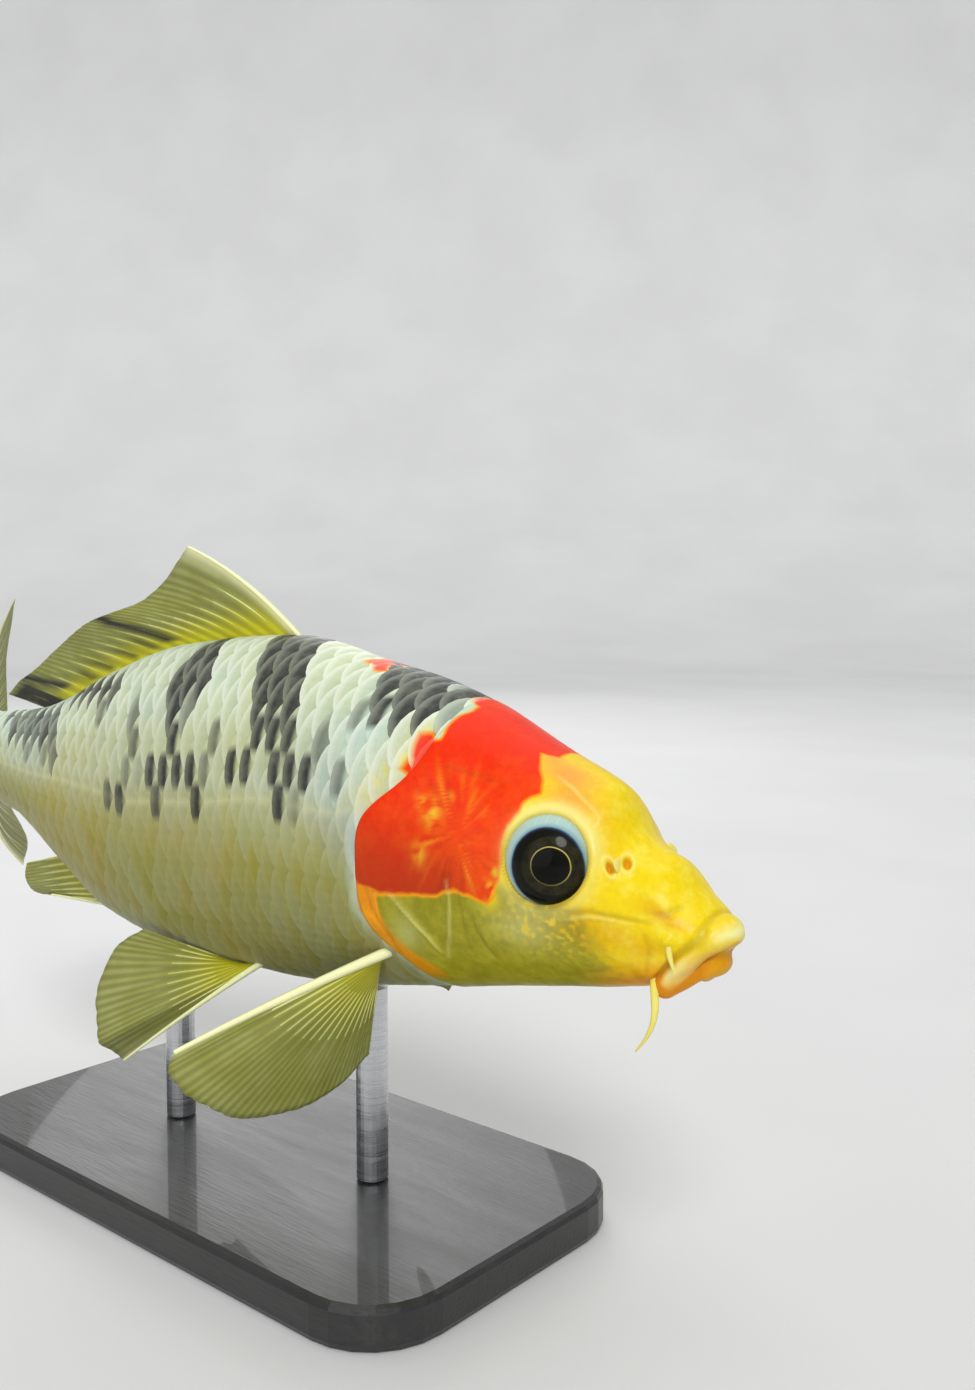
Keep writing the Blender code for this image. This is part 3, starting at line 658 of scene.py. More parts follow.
def eyeFrame(side):
    # centre and axes of an eye: forward, outward, up
    centre = toWorld(skin["eyeAt"][0], side * skin["eyeAt"][1], skin["eyeAt"][2])
    turn = Matrix.Rotation(math.radians(-side * skin["eyeTurn"]), 3, "Z")
    turn = turn @ Matrix.Rotation(math.radians(side * skin["eyeLift"]), 3, "X")
    ahead = np.array(turn @ Vector((1, 0, 0)))
    outward = np.array(turn @ Vector((0, side, 0)))
    above = np.array(turn @ Vector((0, 0, 1)))
    return centre, ahead, outward, above


def lipPath(spots, count=41):
    # from the right corner round the snout to the left corner, with the radius at each point
    both = [(s, -out, up, radius) for s, out, up, radius in reversed(spots[1:])] + list(spots)
    at = np.linspace(0, len(both) - 1, count)
    s, out, up, radius = (smoothCurve(range(len(both)), values)(at) for values in zip(*both))
    return toWorld(s, out, up), radius


def tubeGap(points, line, radius):
    # distance to the surface of a tube of changing radius, in body lengths
    gap, where = distanceToLine(points, line)
    return gap / unit - np.interp(where, np.linspace(0, 1, len(radius)), radius)


def tubeWrap(points, normals, tubes, reach=0.024, samples=34):
    # how far along its normal each point goes to lie on the tubes, each with a soft join
    rise = np.zeros(len(points))
    steps = np.linspace(0, reach, samples)
    last = None
    for t in steps:
        field = np.full(len(points), t)
        for line, radius, blend in tubes:
            gap = tubeGap(points + normals * t * unit, line, radius)
            join = np.clip(1 - np.abs(field - gap) / blend, 0, 1)
            field = np.minimum(field, gap) - blend * .25 * join ** 2
        if last is not None:
            leaves = (last <= 0) & (field > 0)
            share = np.where(leaves, -last / np.where(leaves, field - last, 1), 0)
            rise = np.where(leaves, t - steps[1] * (1 - share), rise)
        last = field
    return rise


def makeSkin():
    count = skin["around"]
    degrees = np.arange(count) * 360 / count - 90
    edge = gillEdge(degrees)
    rows, depths = [], []
    for i in range(skin["headRows"] + 1):
        u = i / skin["headRows"]
        rows.append((.02 + (np.sqrt(edge) - .02) * u) ** 2)
        depths.append(np.zeros(count))
    trunk = skin["trunkRows"]
    for i in range(trunk + 1):
        u = i / trunk
        start = edge + .0006
        rows.append(start + (1 - start) * (u * .75 + u * u * .25))
        depths.append(np.full(count, -(body["coatDepth"] + .0009) * (1 - smoothStep(.90, 1.0, u) * .6)))
    s = np.array(rows)
    deg = np.broadcast_to(degrees, s.shape)
    grid = onSkin(s, deg)
    along = np.gradient(grid, axis=0)
    along[skin["headRows"] + 1] = along[skin["headRows"] + 2]
    across = np.roll(grid, -1, 1) - np.roll(grid, 1, 1)
    normal = np.cross(along, across)
    normal /= np.maximum(np.linalg.norm(normal, axis=2, keepdims=True), 1e-12)
    middle = toWorld(s, 0, 0)
    if np.sum((grid - middle) * normal) < 0:
        normal = -normal
    flank, side = flankOf(deg)
    lift = np.array(depths)
    headOnly = np.zeros_like(s, bool)
    headOnly[:skin["headRows"] + 1] = True

    flat = grid.reshape(-1, 3)
    flatNormal = normal.reshape(-1, 3)
    sFlat, flankFlat, sideFlat = s.ravel(), flank.ravel(), side.ravel()
    raised = lift.ravel().copy()
    # painted shade, laid where the skin folds in or is overhung
    creaseshade = np.zeros(len(flat))

    # gill cover: swells to its rear edge and overhangs the shoulder, and the shoulder just under its edge
    # gets painted shade
    behind = sFlat - gillEdge(flankFlat)
    onHead = headOnly.ravel()
    span = smoothStep(-66, -48, flankFlat) * (1 - smoothStep(46, 70, flankFlat))
    raised += np.where(onHead, skin["gillStep"] * smoothStep(-.045, -.002, behind) * span, 0)
    creaseshade += np.where(~onHead, bump(behind, .004) * span, 0) * .8

    near = onHead & (sFlat < .30)
    # pale: painted highlight on ridges and on the nostrils' raised rims
    pale = np.zeros(len(flat))
    for outline, height, width, paintedShade in skin["folds"]:
        path = np.array(outline)
        fineAt = np.linspace(0, len(path) - 1, 24)
        ps = np.interp(fineAt, np.arange(len(path)), path[:, 0])
        pf = np.interp(fineAt, np.arange(len(path)), path[:, 1])
        for which in (rightSide, leftSide):
            pick = near & (sideFlat == which)
            gap, where = distanceToLine(flat[pick], onSkin(ps, turned(pf, which)))
            fade = np.sin(np.pi * np.clip(where * .9 + .05, 0, 1)) ** .5
            raised[pick] += height * bump(gap / unit, width) * fade
            # painted shade along a groove, painted highlight along a ridge
            tint = bump(gap / unit, width * .75) * fade
            creaseshade[pick] += max(paintedShade, 0) * tint
            pale[pick] = np.maximum(pale[pick], max(-paintedShade, 0) * tint)

    # fleshy pads the barbels grow from
    for root, high, size in skin["pads"]:
        for which in (rightSide, leftSide):
            pick = near & (sideFlat == which)
            gap = np.linalg.norm(flat[pick] - onSkin(root, turned(high, which)), axis=1) / unit
            raised[pick] += skin["padHeight"] * bump(gap, size)

    # fine wrinkles of the cheek
    cheek = onHead & (sFlat > .02)
    wrinkle = grain(flat[cheek] * (1, 1, 1.6), .0016, 2)
    raised[cheek] += .00018 * wrinkle * smoothStep(.02, .06, sFlat[cheek])

    # mouth: two lips wrapped over the jaws, and the slit between them
    front = sFlat < .085
    upper, upperRadius = lipPath(skin["upperLip"])
    lower, lowerRadius = lipPath(skin["lowerLip"])
    raised[front] += tubeWrap(flat[front], flatNormal[front],
                              ((upper, upperRadius, .0075), (lower, lowerRadius, .0055)))
    mouth = upper + (lower - upper) * (upperRadius / (upperRadius + lowerRadius))[:, None]
    lips = flat[front] + flatNormal[front] * (raised[front] * unit)[:, None]
    gap, where = distanceToLine(lips, mouth)
    slit = bump(gap / unit, skin["slitWidth"]) * (1 - smoothStep(.85, 1., np.abs(2 * where - 1)))
    raised[front] -= skin["slitDepth"] * slit
    # painted shade in the mouth slit
    creaseshade[front] += 1.2 * slit
    gapUpper = tubeGap(lips, upper, upperRadius)
    gapLower = tubeGap(lips, lower, lowerRadius)
    fold = smoothStep(.0022, .0040, gapUpper) * (1 - smoothStep(.0044, .0080, gapUpper)) * (gapLower > .002)
    fold *= smoothStep(-80, -60, flankFlat[front])
    folded = smoothStep(.30, .55, np.abs(2 * where - 1))
    raised[front] -= (.0012 + .0006 * folded) * fold
    # painted shade in the fold above the upper lip
    creaseshade[front] += (.36 + .20 * folded) * fold
    slitAll = np.zeros(len(flat))
    slitAll[front] = slit
    lipMask = np.zeros(len(flat))
    across = np.stack([np.interp(where, np.linspace(0, 1, len(upper)), upper[:, i]) for i in range(3)], -1)
    crest = (lips[:, 2] - across[:, 2]) / (unit * .0080)
    lipMask[front] = (1 - smoothStep(.0008, .0034, gapUpper)) * (1 - smoothStep(.7, 1.3, crest))
    # pale lip colour, brightest along the crest as a painted highlight
    lipMask[front] *= .30 + .70 * bump(crest - .12, .42)
    lipMask[front] *= 1 - .6 * smoothStep(.80, 1., np.abs(2 * where - 1))
    lowMask = np.zeros(len(flat))
    lowMask[front] = 1 - smoothStep(.0006, .0060, gapLower)

    # eye sockets and nostrils
    creamAndHighlight = np.zeros(len(flat))
    pits = np.zeros(len(flat))
    for which in (rightSide, leftSide):
        centre, ahead, outward, above = eyeFrame(which)
        away = (flat - centre) / unit
        radius = np.hypot(away @ ahead, away @ above)
        facing = (away @ outward) > -.02
        ring = radius - skin["eyeAcross"]
        inside = facing & onHead & (sideFlat == which)
        raised[inside] += skin["rimHeight"] * bump(ring[inside] - .0030, skin["rimWidth"])
        raised[inside] -= .016 * (1 - smoothStep(-.0060, -.0005, ring[inside]))
        # painted shade along the edge of the socket
        creaseshade[inside] += .55 * bump(ring[inside] - .0005, .0014)
        # painted highlight on the raised rim of the socket, stronger on its upper side where the light falls
        litAbove = .35 + .65 * smoothStep(-.01, .02, (away @ above)[inside])
        creamAndHighlight[inside] = bump(ring[inside] - .0045, .0058) * litAbove
        for longAxis, shortAxis, deep in skin["nostrils"]:
            ends = [onSkin(at, turned(high, which)) for at, high in (*longAxis, *shortAxis)]
            axes = np.stack([ends[0] - ends[1], ends[2] - ends[3]], 1) / 2
            off = flat[inside] - (ends[0] + ends[1]) / 2
            gap = np.linalg.norm(off @ np.linalg.pinv(axes).T, axis=1)
            raised[inside] -= deep * (1 - smoothStep(.35, 1.0, gap))
            raised[inside] += .0011 * bump(gap - 1.40, .40)
            pits[inside] = np.maximum(pits[inside], 1 - smoothStep(.55, 1.1, gap))
            # painted highlight on the raised rim round each opening
            pale[inside] = np.maximum(pale[inside], .62 * bump(gap - 1.36, .30))

    flat = flat + flatNormal * (raised * unit)[:, None]
    nose = flat[:count].mean(0) + np.array((.0002, 0, 0))
    tail = toWorld(1.0, 0.0, .003)
    points = np.concatenate([flat, [nose], [tail]])
    faces = tubeFaces(len(s), count, len(flat))
    masks = colourMasks(sFlat, flankFlat, sideFlat)
    masks["ink"] = inkAt(sFlat, flankFlat, sideFlat) * (~onHead)
    masks["creaseshade"] = np.clip(creaseshade, 0, 1) * .75
    # painted highlight on the socket rims, cheek ridges and nostril rims
    masks["creamAndHighlight"] = np.maximum(creamAndHighlight * (1 - .85 * masks["red"]), pale)
    masks["lip"] = lipMask * (1 - slitAll)
    masks["gold"] = np.maximum(masks["gold"], onHead * (sFlat < .06))
    masks["amber"] = np.maximum(masks["amber"], np.maximum(lowMask * .80, pits * .8)) * (1 - .9 * lipMask)
    return points, faces, {k: np.concatenate([v, [v[:count].mean(), v[-1]]]) for k, v in masks.items()}


# feelers and nostril flaps, part of the same skin
feelers = {
    "sides": 14,
    "rings": 26,
    # side, root along the body, degrees, reach back, out and down, thickness
    "list": (
        (rightSide, .035, 0, (-.008, .001, .0195), .0027), (leftSide, .035, 0, (-.002, .004, .018), .0027),
        (rightSide, .051, -35, (.011, -.002, .060), .0034), (leftSide, .051, -35, (.050, .020, .020), .0037),
    ),
    "flapAt": (.0785, 45), "flapWide": .0016, "flapLong": .0078, "flapTall": .0066, "flapGrid": (11, 20),
}


def makeFeeler(side, root, degrees, reach, thick):
    out, up = skinAt(root, degrees)
    rings, sides = feelers["rings"], feelers["sides"]
    t = np.linspace(0, 1, rings)
    # the root lies inside the skin; below it the barbel bows forwards
    sunk = (.006 if reach[2] < .02 else .013) * (1 - t) ** 7
    at = root + reach[0] * t ** 2.6 - .13 * reach[2] * np.sin(np.pi * t)
    aside = out - sunk + reach[1] * t + t * (1 - t) * .06 * reach[2]
    line = toWorld(at, side * aside, up + .6 * sunk - reach[2] * t)
    radius = unit * thick * (1 - .80 * t ** 1.6) * (1 + .30 * np.exp(-t * 14))
    tangent = np.gradient(line, axis=0)
    tangent /= np.linalg.norm(tangent, axis=1, keepdims=True)
    first = np.cross(tangent, (0.3, 1.0, 0.1))
    first /= np.linalg.norm(first, axis=1, keepdims=True)
    second = np.cross(tangent, first)
    angle = np.linspace(0, 2 * np.pi, sides, endpoint=False)[None, :, None]
    ring = line[:, None] + radius[:, None, None] * (np.cos(angle) * first[:, None]
                                                    + np.sin(angle) * second[:, None])
    points = np.concatenate([ring.reshape(-1, 3), [line[0]], [line[-1] + tangent[-1] * radius[-1]]])
    along = np.concatenate([np.repeat(t, sides), [0, 1]])
    return points, tubeFaces(rings, sides, rings * sides), along


def ballGrid(margin, rings, sides):
    # angles of a ball from near one pole to near the other, and round it
    return np.meshgrid(np.linspace(margin, np.pi - margin, rings),
                       np.linspace(0, 2 * np.pi, sides, endpoint=False), indexing="ij")


def makeFlap(side):
    # a thin curled plate between the two openings of a nostril
    at, high = feelers["flapAt"]
    out, up = skinAt(at, high)
    root = toWorld(at, side * out, up)
    turn = Matrix.Rotation(math.radians(-side * 20), 3, "Z")
    turn = turn @ Matrix.Rotation(math.radians(-35 * side), 3, "X")
    rings, sides = feelers["flapGrid"]
    a, b = ballGrid(.06, rings, sides)
    x = np.sin(a) * np.cos(b)
    y = np.sin(a) * np.sin(b)
    z = np.cos(a)
    top = np.clip(z, 0, 1)
    local = np.stack([x * feelers["flapWide"] * (1 - .35 * top) - .0024 * top ** 2,
                      y * feelers["flapLong"] * (.72 + .28 * z), z * feelers["flapTall"]], -1)
    points = (root + (local @ np.array(turn).T) * unit).reshape(-1, 3)
    faces = tubeFaces(rings, sides, len(points))
    return np.concatenate([points, [points[:sides].mean(0)], [points[-sides:].mean(0)]]), faces


def outward(points, faces):
    # turns a closed piece's faces outwards
    volume = 0.0
    for f in faces:
        a = points[f[0]]
        for i in range(1, len(f) - 1):
            volume += np.dot(a, np.cross(points[f[i]], points[f[i + 1]]))
    return faces if volume > 0 else [tuple(reversed(f)) for f in faces]


def buildSkin():
    # the body, then the barbels and flaps as closed shells of the same piece
    shells = [makeSkin()]
    for side, root, degrees, reach, thick in feelers["list"]:
        points, faces, along = makeFeeler(side, root, degrees, reach, thick)
        masks = {"gold": np.ones(len(points)), "amber": .45 * (1 - smoothStep(0, .22, along)),
                 "creamAndHighlight": .45 + .5 * smoothStep(.05, .4, along)}
        shells.append((points, faces, masks))
    for side in (rightSide, leftSide):
        points, faces = makeFlap(side)
        shells.append((points, faces, {"gold": np.full(len(points), .9), "creamAndHighlight": np.full(len(points), .8)}))
    allFaces, offset = [], 0
    for points, faces, masks in shells:
        allFaces += [tuple(i + offset for i in f) for f in outward(points, faces)]
        offset += len(points)
    full = {key: np.concatenate([masks.get(key, np.zeros(len(points))) for points, faces, masks in shells])
            for key in shells[0][2]}
    return newPiece("koiSkin", np.concatenate([points for points, faces, masks in shells]), allFaces, full)


def skinMaterial():
    material, pen, shader = newMaterial("koiSkin")
    tone, grains = paintNode(pen)
    # pale cream: the barbels' and flaps' own colour, and painted highlight on socket rims, cheek ridges and
    # nostril rims
    tone = pen.mix(pen.times(pen.mask("creamAndHighlight"), .70, clamp=True), tone, (0.93, 0.86, 0.30))
    # the upper lip's pale yellow, with a painted highlight along its crest
    tone = pen.mix(pen.times(pen.mask("lip"), .92, clamp=True), tone, (1.0, 0.96, 0.44))
    pores = pen.noise(2600, 2, .5)
    pen.bump(shader, pen.plus(pen.times(grains, .8), pen.times(pores, .35)), .30, .0004)
    pen.fill(shader, {"Base Color": tone, "Roughness": pen.fade(grains, .35, .65, .30, .46), **skin["shine"]})
    return material


skinObj = buildSkin()
skinObj.data.materials.append(skinMaterial())
finishPiece(skinObj, "pale_skin", "head", "lower_jaw", "upper_lip", "gill_cover_left", "gill_cover_right",
            "nasal_flap_left", "nasal_flap_right", "barbel_short_left", "barbel_short_right",
            "barbel_long_left", "barbel_long_right", "trunk", "tail_stalk")
print("skin", len(skinObj.data.polygons), "faces")

# scales: one plate repeated along the flank by a node tree, then laid on the body
scales = {
    "pitch": 0.0193, "first": 0.205, "last": 0.990,
    "rowHeight": ((.20, .0275), (.50, .0290), (.70, .0250), (.85, .0185), (1.0, .0150)),
    "lateral": ((.20, 30), (.27, 18), (.324, 8), (.425, 4), (.492, 0), (.616, -2), (.724, 3), (1.0, 5)),
    "across": 12, "along": 5, "plateLength": 2.0, "plateReach": 1.22,
    "rise": 0.0010, "thick": 0.0004, "sink": 0.0011, "jitter": 0.035, "seed": 7,
    # the flank laid flat: places along and girth covered, with the number of points
    "chartAlong": (.16, 1.04, 176), "tableAlong": (.16, 1.0, 85), "chartUp": (-.36, .36, 145),
    "shine": {"Specular IOR Level": 0.12, "Coat Weight": 0.06, "Coat Roughness": 0.15},
}


def makePlate():
    # one scale: x back, y up, z out; a fan with a rounded rear edge and a thin rim
    n, m = scales["along"] + 1, scales["across"] + 1
    v = np.linspace(-1, 1, m)
    u = np.linspace(0, 1, n)
    y = scales["plateReach"] * np.sin(v * np.pi / 2)
    rear = .98 * (np.sqrt(np.clip(1 - (y / (scales["plateReach"] * 1.04)) ** 2, 0, 1)) - 1) * 1.25
    x = rear[None, :] - scales["plateLength"] * (1 - u[:, None]) * (1 - .12 * v[None, :] ** 2)
    dome = 1 - .45 * v[None, :] ** 2 - .40 * v[None, :] ** 6
    z = (scales["rise"] + scales["sink"]) * smoothStep(0, 1, u[:, None]) * dome - scales["sink"]
    z[-1] -= scales["thick"] * .35
    top = np.stack([x, np.broadcast_to(y, x.shape), z], -1)
    under = top[[0, -1]].copy()
    under[..., 2] -= scales["thick"]
    points = np.concatenate([top.reshape(-1, 3), under.reshape(-1, 3)])
    base = n * m
    faces = [tuple(f) for f in gridFaces(n, m, False)]
    for j in range(m - 1):
        faces.append((base + j, base + j + 1, base + m + j + 1, base + m + j))
        faces.append((j, j + 1, base + j + 1, base + j))
        faces.append(((n - 1) * m + j + 1, (n - 1) * m + j, base + m + j, base + m + j + 1))
    faces.append(tuple([i * m for i in range(n)][::-1] + [base, base + m]))
    faces.append(tuple([i * m + m - 1 for i in range(n)] + [base + m + m - 1, base + m - 1]))
    uu, vv = np.meshgrid(u, v, indexing="ij")
    backs = np.concatenate([uu.ravel(), np.zeros(m), np.ones(m)])
    acrosses = np.concatenate([vv.ravel(), v, v])
    mesh = newMesh("scalePlate", points, faces)
    turnOutwards(mesh, True)
    paint(mesh, "backward", backs)
    paint(mesh, "across", acrosses)
    return show("scalePlate", mesh)


def flankLine(s, side):
    # girth of a section from the lateral line: angles up from the flank and arc lengths
    angles = np.linspace(-180, 180, 721)
    out, up = skinAt(np.full_like(angles, s), turned(angles, side))
    arc = np.concatenate([[0], np.cumsum(np.hypot(np.diff(out), np.diff(up)))])
    level = np.interp(s, *zip(*scales["lateral"]))
    return angles, arc - np.interp(level, angles, arc)


def makeChart(side):
    # the flank laid out flat, remembering where each place is on the body
    along, up = np.linspace(*scales["chartAlong"]), np.linspace(*scales["chartUp"])
    places = np.zeros((len(along), len(up), 3))
    for i, s in enumerate(along):
        angles, arc = flankLine(min(s, 1.0), side)
        places[i] = onSkin(s, turned(np.interp(up, arc, angles), side), -body["coatDepth"])
    flatPlaces = np.stack([*np.meshgrid(along, up, indexing="ij"), np.zeros((len(along), len(up)))], -1)
    mesh = newMesh("flankChart", flatPlaces.reshape(-1, 3), gridFaces(len(along), len(up), False))
    paint(mesh, "onBody", places)
    paint(mesh, "outwards", unitNormals(places) * (1 if side > 0 else -1))
    return show("flankChart", mesh)


def makeRoots(side):
    # where each scale's rear edge lies on the chart, its size and its colours
    rng = np.random.default_rng(scales["seed"] + (side > 0))
    rowHeight = smoothCurve(*zip(*scales["rowHeight"]))
    spots, sizes, turns, rowsOf, angles = [], [], [], [], []
    for row in range(-9, 10):
        s = scales["first"] + (.5 * scales["pitch"] if row % 2 else 0)
        while s < scales["last"]:
            high = float(rowHeight(s))
            v = row * high
            degrees, arc = flankLine(min(s, 1.0), side)
            top = float(np.interp(90, degrees, arc))
            bottom = float(np.interp(-90, degrees, arc))
            margin = .30 * high * (1 if side < 0 else -1)
            flank = float(np.interp(v, arc, degrees))
            pitch = scales["pitch"] * (1 - .12 * smoothStep(.75, 1, s))
            if bottom - margin < v < top + margin and s > float(gillEdge(min(flank, 90))) + .002:
                wobble = rng.normal(0, scales["jitter"], 3)
                spots.append((s + wobble[0] * pitch * .5, v + wobble[1] * high * .4, 0))
                sizes.append((pitch * (1 + wobble[2] * .3), high, 1))
                turns.append((0, 0, wobble[1] * .5))
                rowsOf.append(row)
                angles.append(flank)
            s += pitch
    spots = np.array(spots)
    mesh = newMesh("scaleRoots", spots)
    shown = spots[:, 0] - scales["pitch"] * .45
    flank = np.array(angles)
    sides = np.full(len(spots), side)
    ink = np.clip((inkAt(shown, flank, sides) - .16) * 1.5 * rng.uniform(.85, 1.1, len(spots)), 0, 1)
    ink *= 1 - .85 * (rng.uniform(0, 1, len(spots)) < .16 * smoothStep(34, 22, flank))
    # below the middle of the flank the black breaks up into single scales, each a dark lozenge
    single = smoothStep(34, 26, flank) * (shown < .74)
    for at, high, strength in markings["flecks"]:
        place = at + (markings["leftShift"] if side > 0 else 0)
        nearest = np.argmin(np.hypot((shown - place) / scales["pitch"], (flank - high) * degreeWidth / .029))
        ink[nearest], single[nearest] = max(ink[nearest], strength), 1
    marks = {"size": sizes, "turn": turns, "root": spots, "ink": ink, "single": single,
             "line": np.array(rowsOf) == 0, "chance": rng.uniform(0, 1, len(spots))}
    for key, values in marks.items():
        paint(mesh, key, values)
    return show("scaleRoots", mesh)


def makeCoatTree():
    # a plate at each root, realised on the flat chart and carried over to the body
    inputs = (("Geometry", "Geometry"), ("Scale Shape", "Object"), ("Flank Chart", "Object"),
              ("Body Length", "Float"), ("Finish", "Material"))
    tree, pen, given, result = newTree("layScales", "GeometryNodeTree", inputs, (("Geometry", "Geometry"),))

    def stored(name):
        return pen.step("GeometryNodeInputNamedAttribute", {"Name": name}, "Attribute",
                        data_type="FLOAT_VECTOR")

    plate, chart = (pen.step("GeometryNodeObjectInfo", {"Object": given[name]}, "Geometry")
                    for name in ("Scale Shape", "Flank Chart"))
    laid = pen.step("GeometryNodeInstanceOnPoints", {"Points": given["Geometry"], "Instance": plate,
                                                     "Rotation": stored("turn"), "Scale": stored("size")})
    laid = pen.step("GeometryNodeRealizeInstances", {"Geometry": laid})
    split = pen.node("ShaderNodeSeparateXYZ")
    pen.join(pen.step("GeometryNodeInputPosition", {}), split.inputs[0])
    flat = pen.step("ShaderNodeCombineXYZ", {"X": split.outputs["X"], "Y": split.outputs["Y"]})
    onBody, outwards = (pen.step("GeometryNodeSampleNearestSurface",
                                 {"Mesh": chart, "Value": stored(name), "Sample Position": flat},
                                 "Value", data_type="FLOAT_VECTOR") for name in ("onBody", "outwards"))
    height = pen.times(split.outputs["Z"], given["Body Length"])
    lift = pen.step("ShaderNodeVectorMath", {0: outwards, "Scale": height}, operation="SCALE")
    total = pen.step("ShaderNodeVectorMath", {0: onBody, 1: lift}, operation="ADD")
    laid = pen.step("GeometryNodeSetPosition", {"Geometry": laid, "Position": total})
    laid = pen.step("GeometryNodeSetMaterial", {"Geometry": laid, "Material": given["Finish"]})
    pen.join(laid, result[0])
    return tree


def scaleMaterial():
    material, pen, shader = newMaterial("koiScale")
    backward, across, inked, belly = (pen.mask(name) for name in ("backward", "across", "ink", "belly"))
    rim = pen.fade(backward, .80, .97)
    wideRim = pen.fade(backward, .60, .92)
    # dark pigment lies in the visible part of each scale and stops short of its clear rim
    ink = pen.times(inked, pen.timesPlus(rim, -.16, 1.0), clamp=True)
    lozenge = pen.times(pen.fade(pen.math("ABSOLUTE", across), .24, .40, 1., 0.),
                        pen.fade(backward, .58, .72))
    ink = pen.times(ink, pen.timesPlus(pen.mask("single"), pen.math("SUBTRACT", lozenge, 1.0), 1.0))
    tone, grains = paintNode(pen, Ink=ink)
    clear = pen.math("SUBTRACT", pen.math("SUBTRACT", 1.0, inked), pen.mask("red"), clamp=True)
    # some scales are greener than others
    tint = pen.times(pen.times(pen.mask("chance"), .25), clear)
    tone = pen.mix(tint, tone, (0.36, 0.46, 0.36))
    # pale rims, weaker on black, on red and on the belly
    pale = pen.times(pen.timesPlus(wideRim, .22, pen.times(rim, .38)), pen.timesPlus(clear, .85, .15))
    pale = pen.times(pale, pen.timesPlus(belly, -.65, 1.0))
    tone = pen.mix(pale, tone, pen.mix(belly, (.90, .93, .80), (.46, .43, .16)))
    # painted shade: each scale darker towards its root, where it slips under the scale in front
    root = pen.fade(backward, .40, .72, 1., 0.)
    tone = pen.mix(pen.times(root, .12), tone, (0.20, 0.22, 0.10))
    # a short dash on each scale of the lateral line
    centre = pen.math("SUBTRACT", 1.0, pen.math("ABSOLUTE", pen.times(across, 9.0)), clamp=True)
    dash = pen.times(pen.times(centre, pen.mask("line")), clear)
    tone = pen.mix(pen.times(dash, .30), tone, (0.80, 0.76, 0.42))
    # rings and struts of each scale
    ringWave = pen.times(pen.math("SINE", pen.times(backward, 60.0)), .12)
    fan = pen.times(pen.math("SINE", pen.times(across, 34.0)), .16)
    pen.bump(shader, pen.plus(pen.plus(ringWave, fan), grains), .25, .00020)
    pen.fill(shader, {"Base Color": tone, "Roughness": pen.fade(grains, .35, .65, .34, .50),
                      "Metallic": pen.times(clear, .08), **scales["shine"]})
    return material


def readBack(mesh, name, size):
    values = np.zeros(len(mesh.vertices) * size, np.float32)
    mesh.attributes[name].data.foreach_get("vector" if size == 3 else "value", values)
    return values.reshape(-1, 3) if size == 3 else values


def paintCoat(mesh, side):
    # each point of a scale takes the colours of the skin under it; ink alone goes scale by scale
    root, size = readBack(mesh, "root", 3), readBack(mesh, "size", 3)
    backward, across = readBack(mesh, "backward", 1), readBack(mesh, "across", 1)
    s = root[:, 0] - size[:, 0] * (scales["plateLength"] * (1 - backward) + .45 * across ** 2)
    arc = root[:, 1] + size[:, 1] * scales["plateReach"] * np.sin(across * np.pi / 2)
    along, up = np.linspace(*scales["tableAlong"]), np.linspace(*scales["chartUp"])
    table = np.array([np.interp(up, *flankLine(x, side)[::-1]) for x in along])
    i = np.clip((s - along[0]) / (along[1] - along[0]), 0, len(along) - 1.001)
    j = np.clip((arc - up[0]) / (up[1] - up[0]), 0, len(up) - 1.001)
    i0, j0 = i.astype(int), j.astype(int)
    fi, fj = i - i0, j - j0
    flank = ((1 - fi) * ((1 - fj) * table[i0, j0] + fj * table[i0, j0 + 1])
             + fi * ((1 - fj) * table[i0 + 1, j0] + fj * table[i0 + 1, j0 + 1]))
    # past the ridge of the back or belly the other flank begins
    flank = np.where(np.abs(flank) > 90, np.sign(flank) * (180 - np.abs(flank)), flank)
    masks = colourMasks(np.maximum(s, gillEdge(flank) + .003), flank, np.full(len(s), side))
    # no painted crease shade on the scales
    masks["creaseshade"] = np.zeros(len(s))
    for key, values in masks.items():
        paint(mesh, key, values)


def giveScaleMap(mesh):
    # each scale is a small patch at its root's place on the unrolled skin
    root = readBack(mesh, "root", 3)
    u = .04 + .92 * (root[:, 0] - .18) / .84 + (readBack(mesh, "backward", 1) - .5) * .003
    v = .04 + .92 * (root[:, 1] + .30) / .60 + readBack(mesh, "across", 1) * .0015
    layer = mesh.uv_layers.get("OFBake") or mesh.uv_layers.new(name="OFBake")
    loops = np.zeros(len(mesh.loops), np.int32)
    mesh.loops.foreach_get("vertex_index", loops)
    layer.data.foreach_set("uv", np.stack([u, v], -1)[loops].astype(np.float32).ravel())


def growPiece(name, source, tree, inputs):
    # runs a node tree on an object and keeps the plain mesh that comes out
    step = source.modifiers.new(name, "NODES")
    step.node_group = tree
    sockets = {item.name: item.identifier for item in tree.interface.items_tree if item.in_out == "INPUT"}
    for key, value in inputs.items():
        step[sockets[key]] = value
    bpy.context.view_layer.update()
    ready = source.evaluated_get(bpy.context.evaluated_depsgraph_get())
    mesh = bpy.data.meshes.new_from_object(ready)
    mesh.name = name
    # one finish and no empty slot before it
    mesh.materials.clear()
    mesh.materials.append(inputs["Finish"])
    bpy.data.objects.remove(source)
    return show(name, mesh)


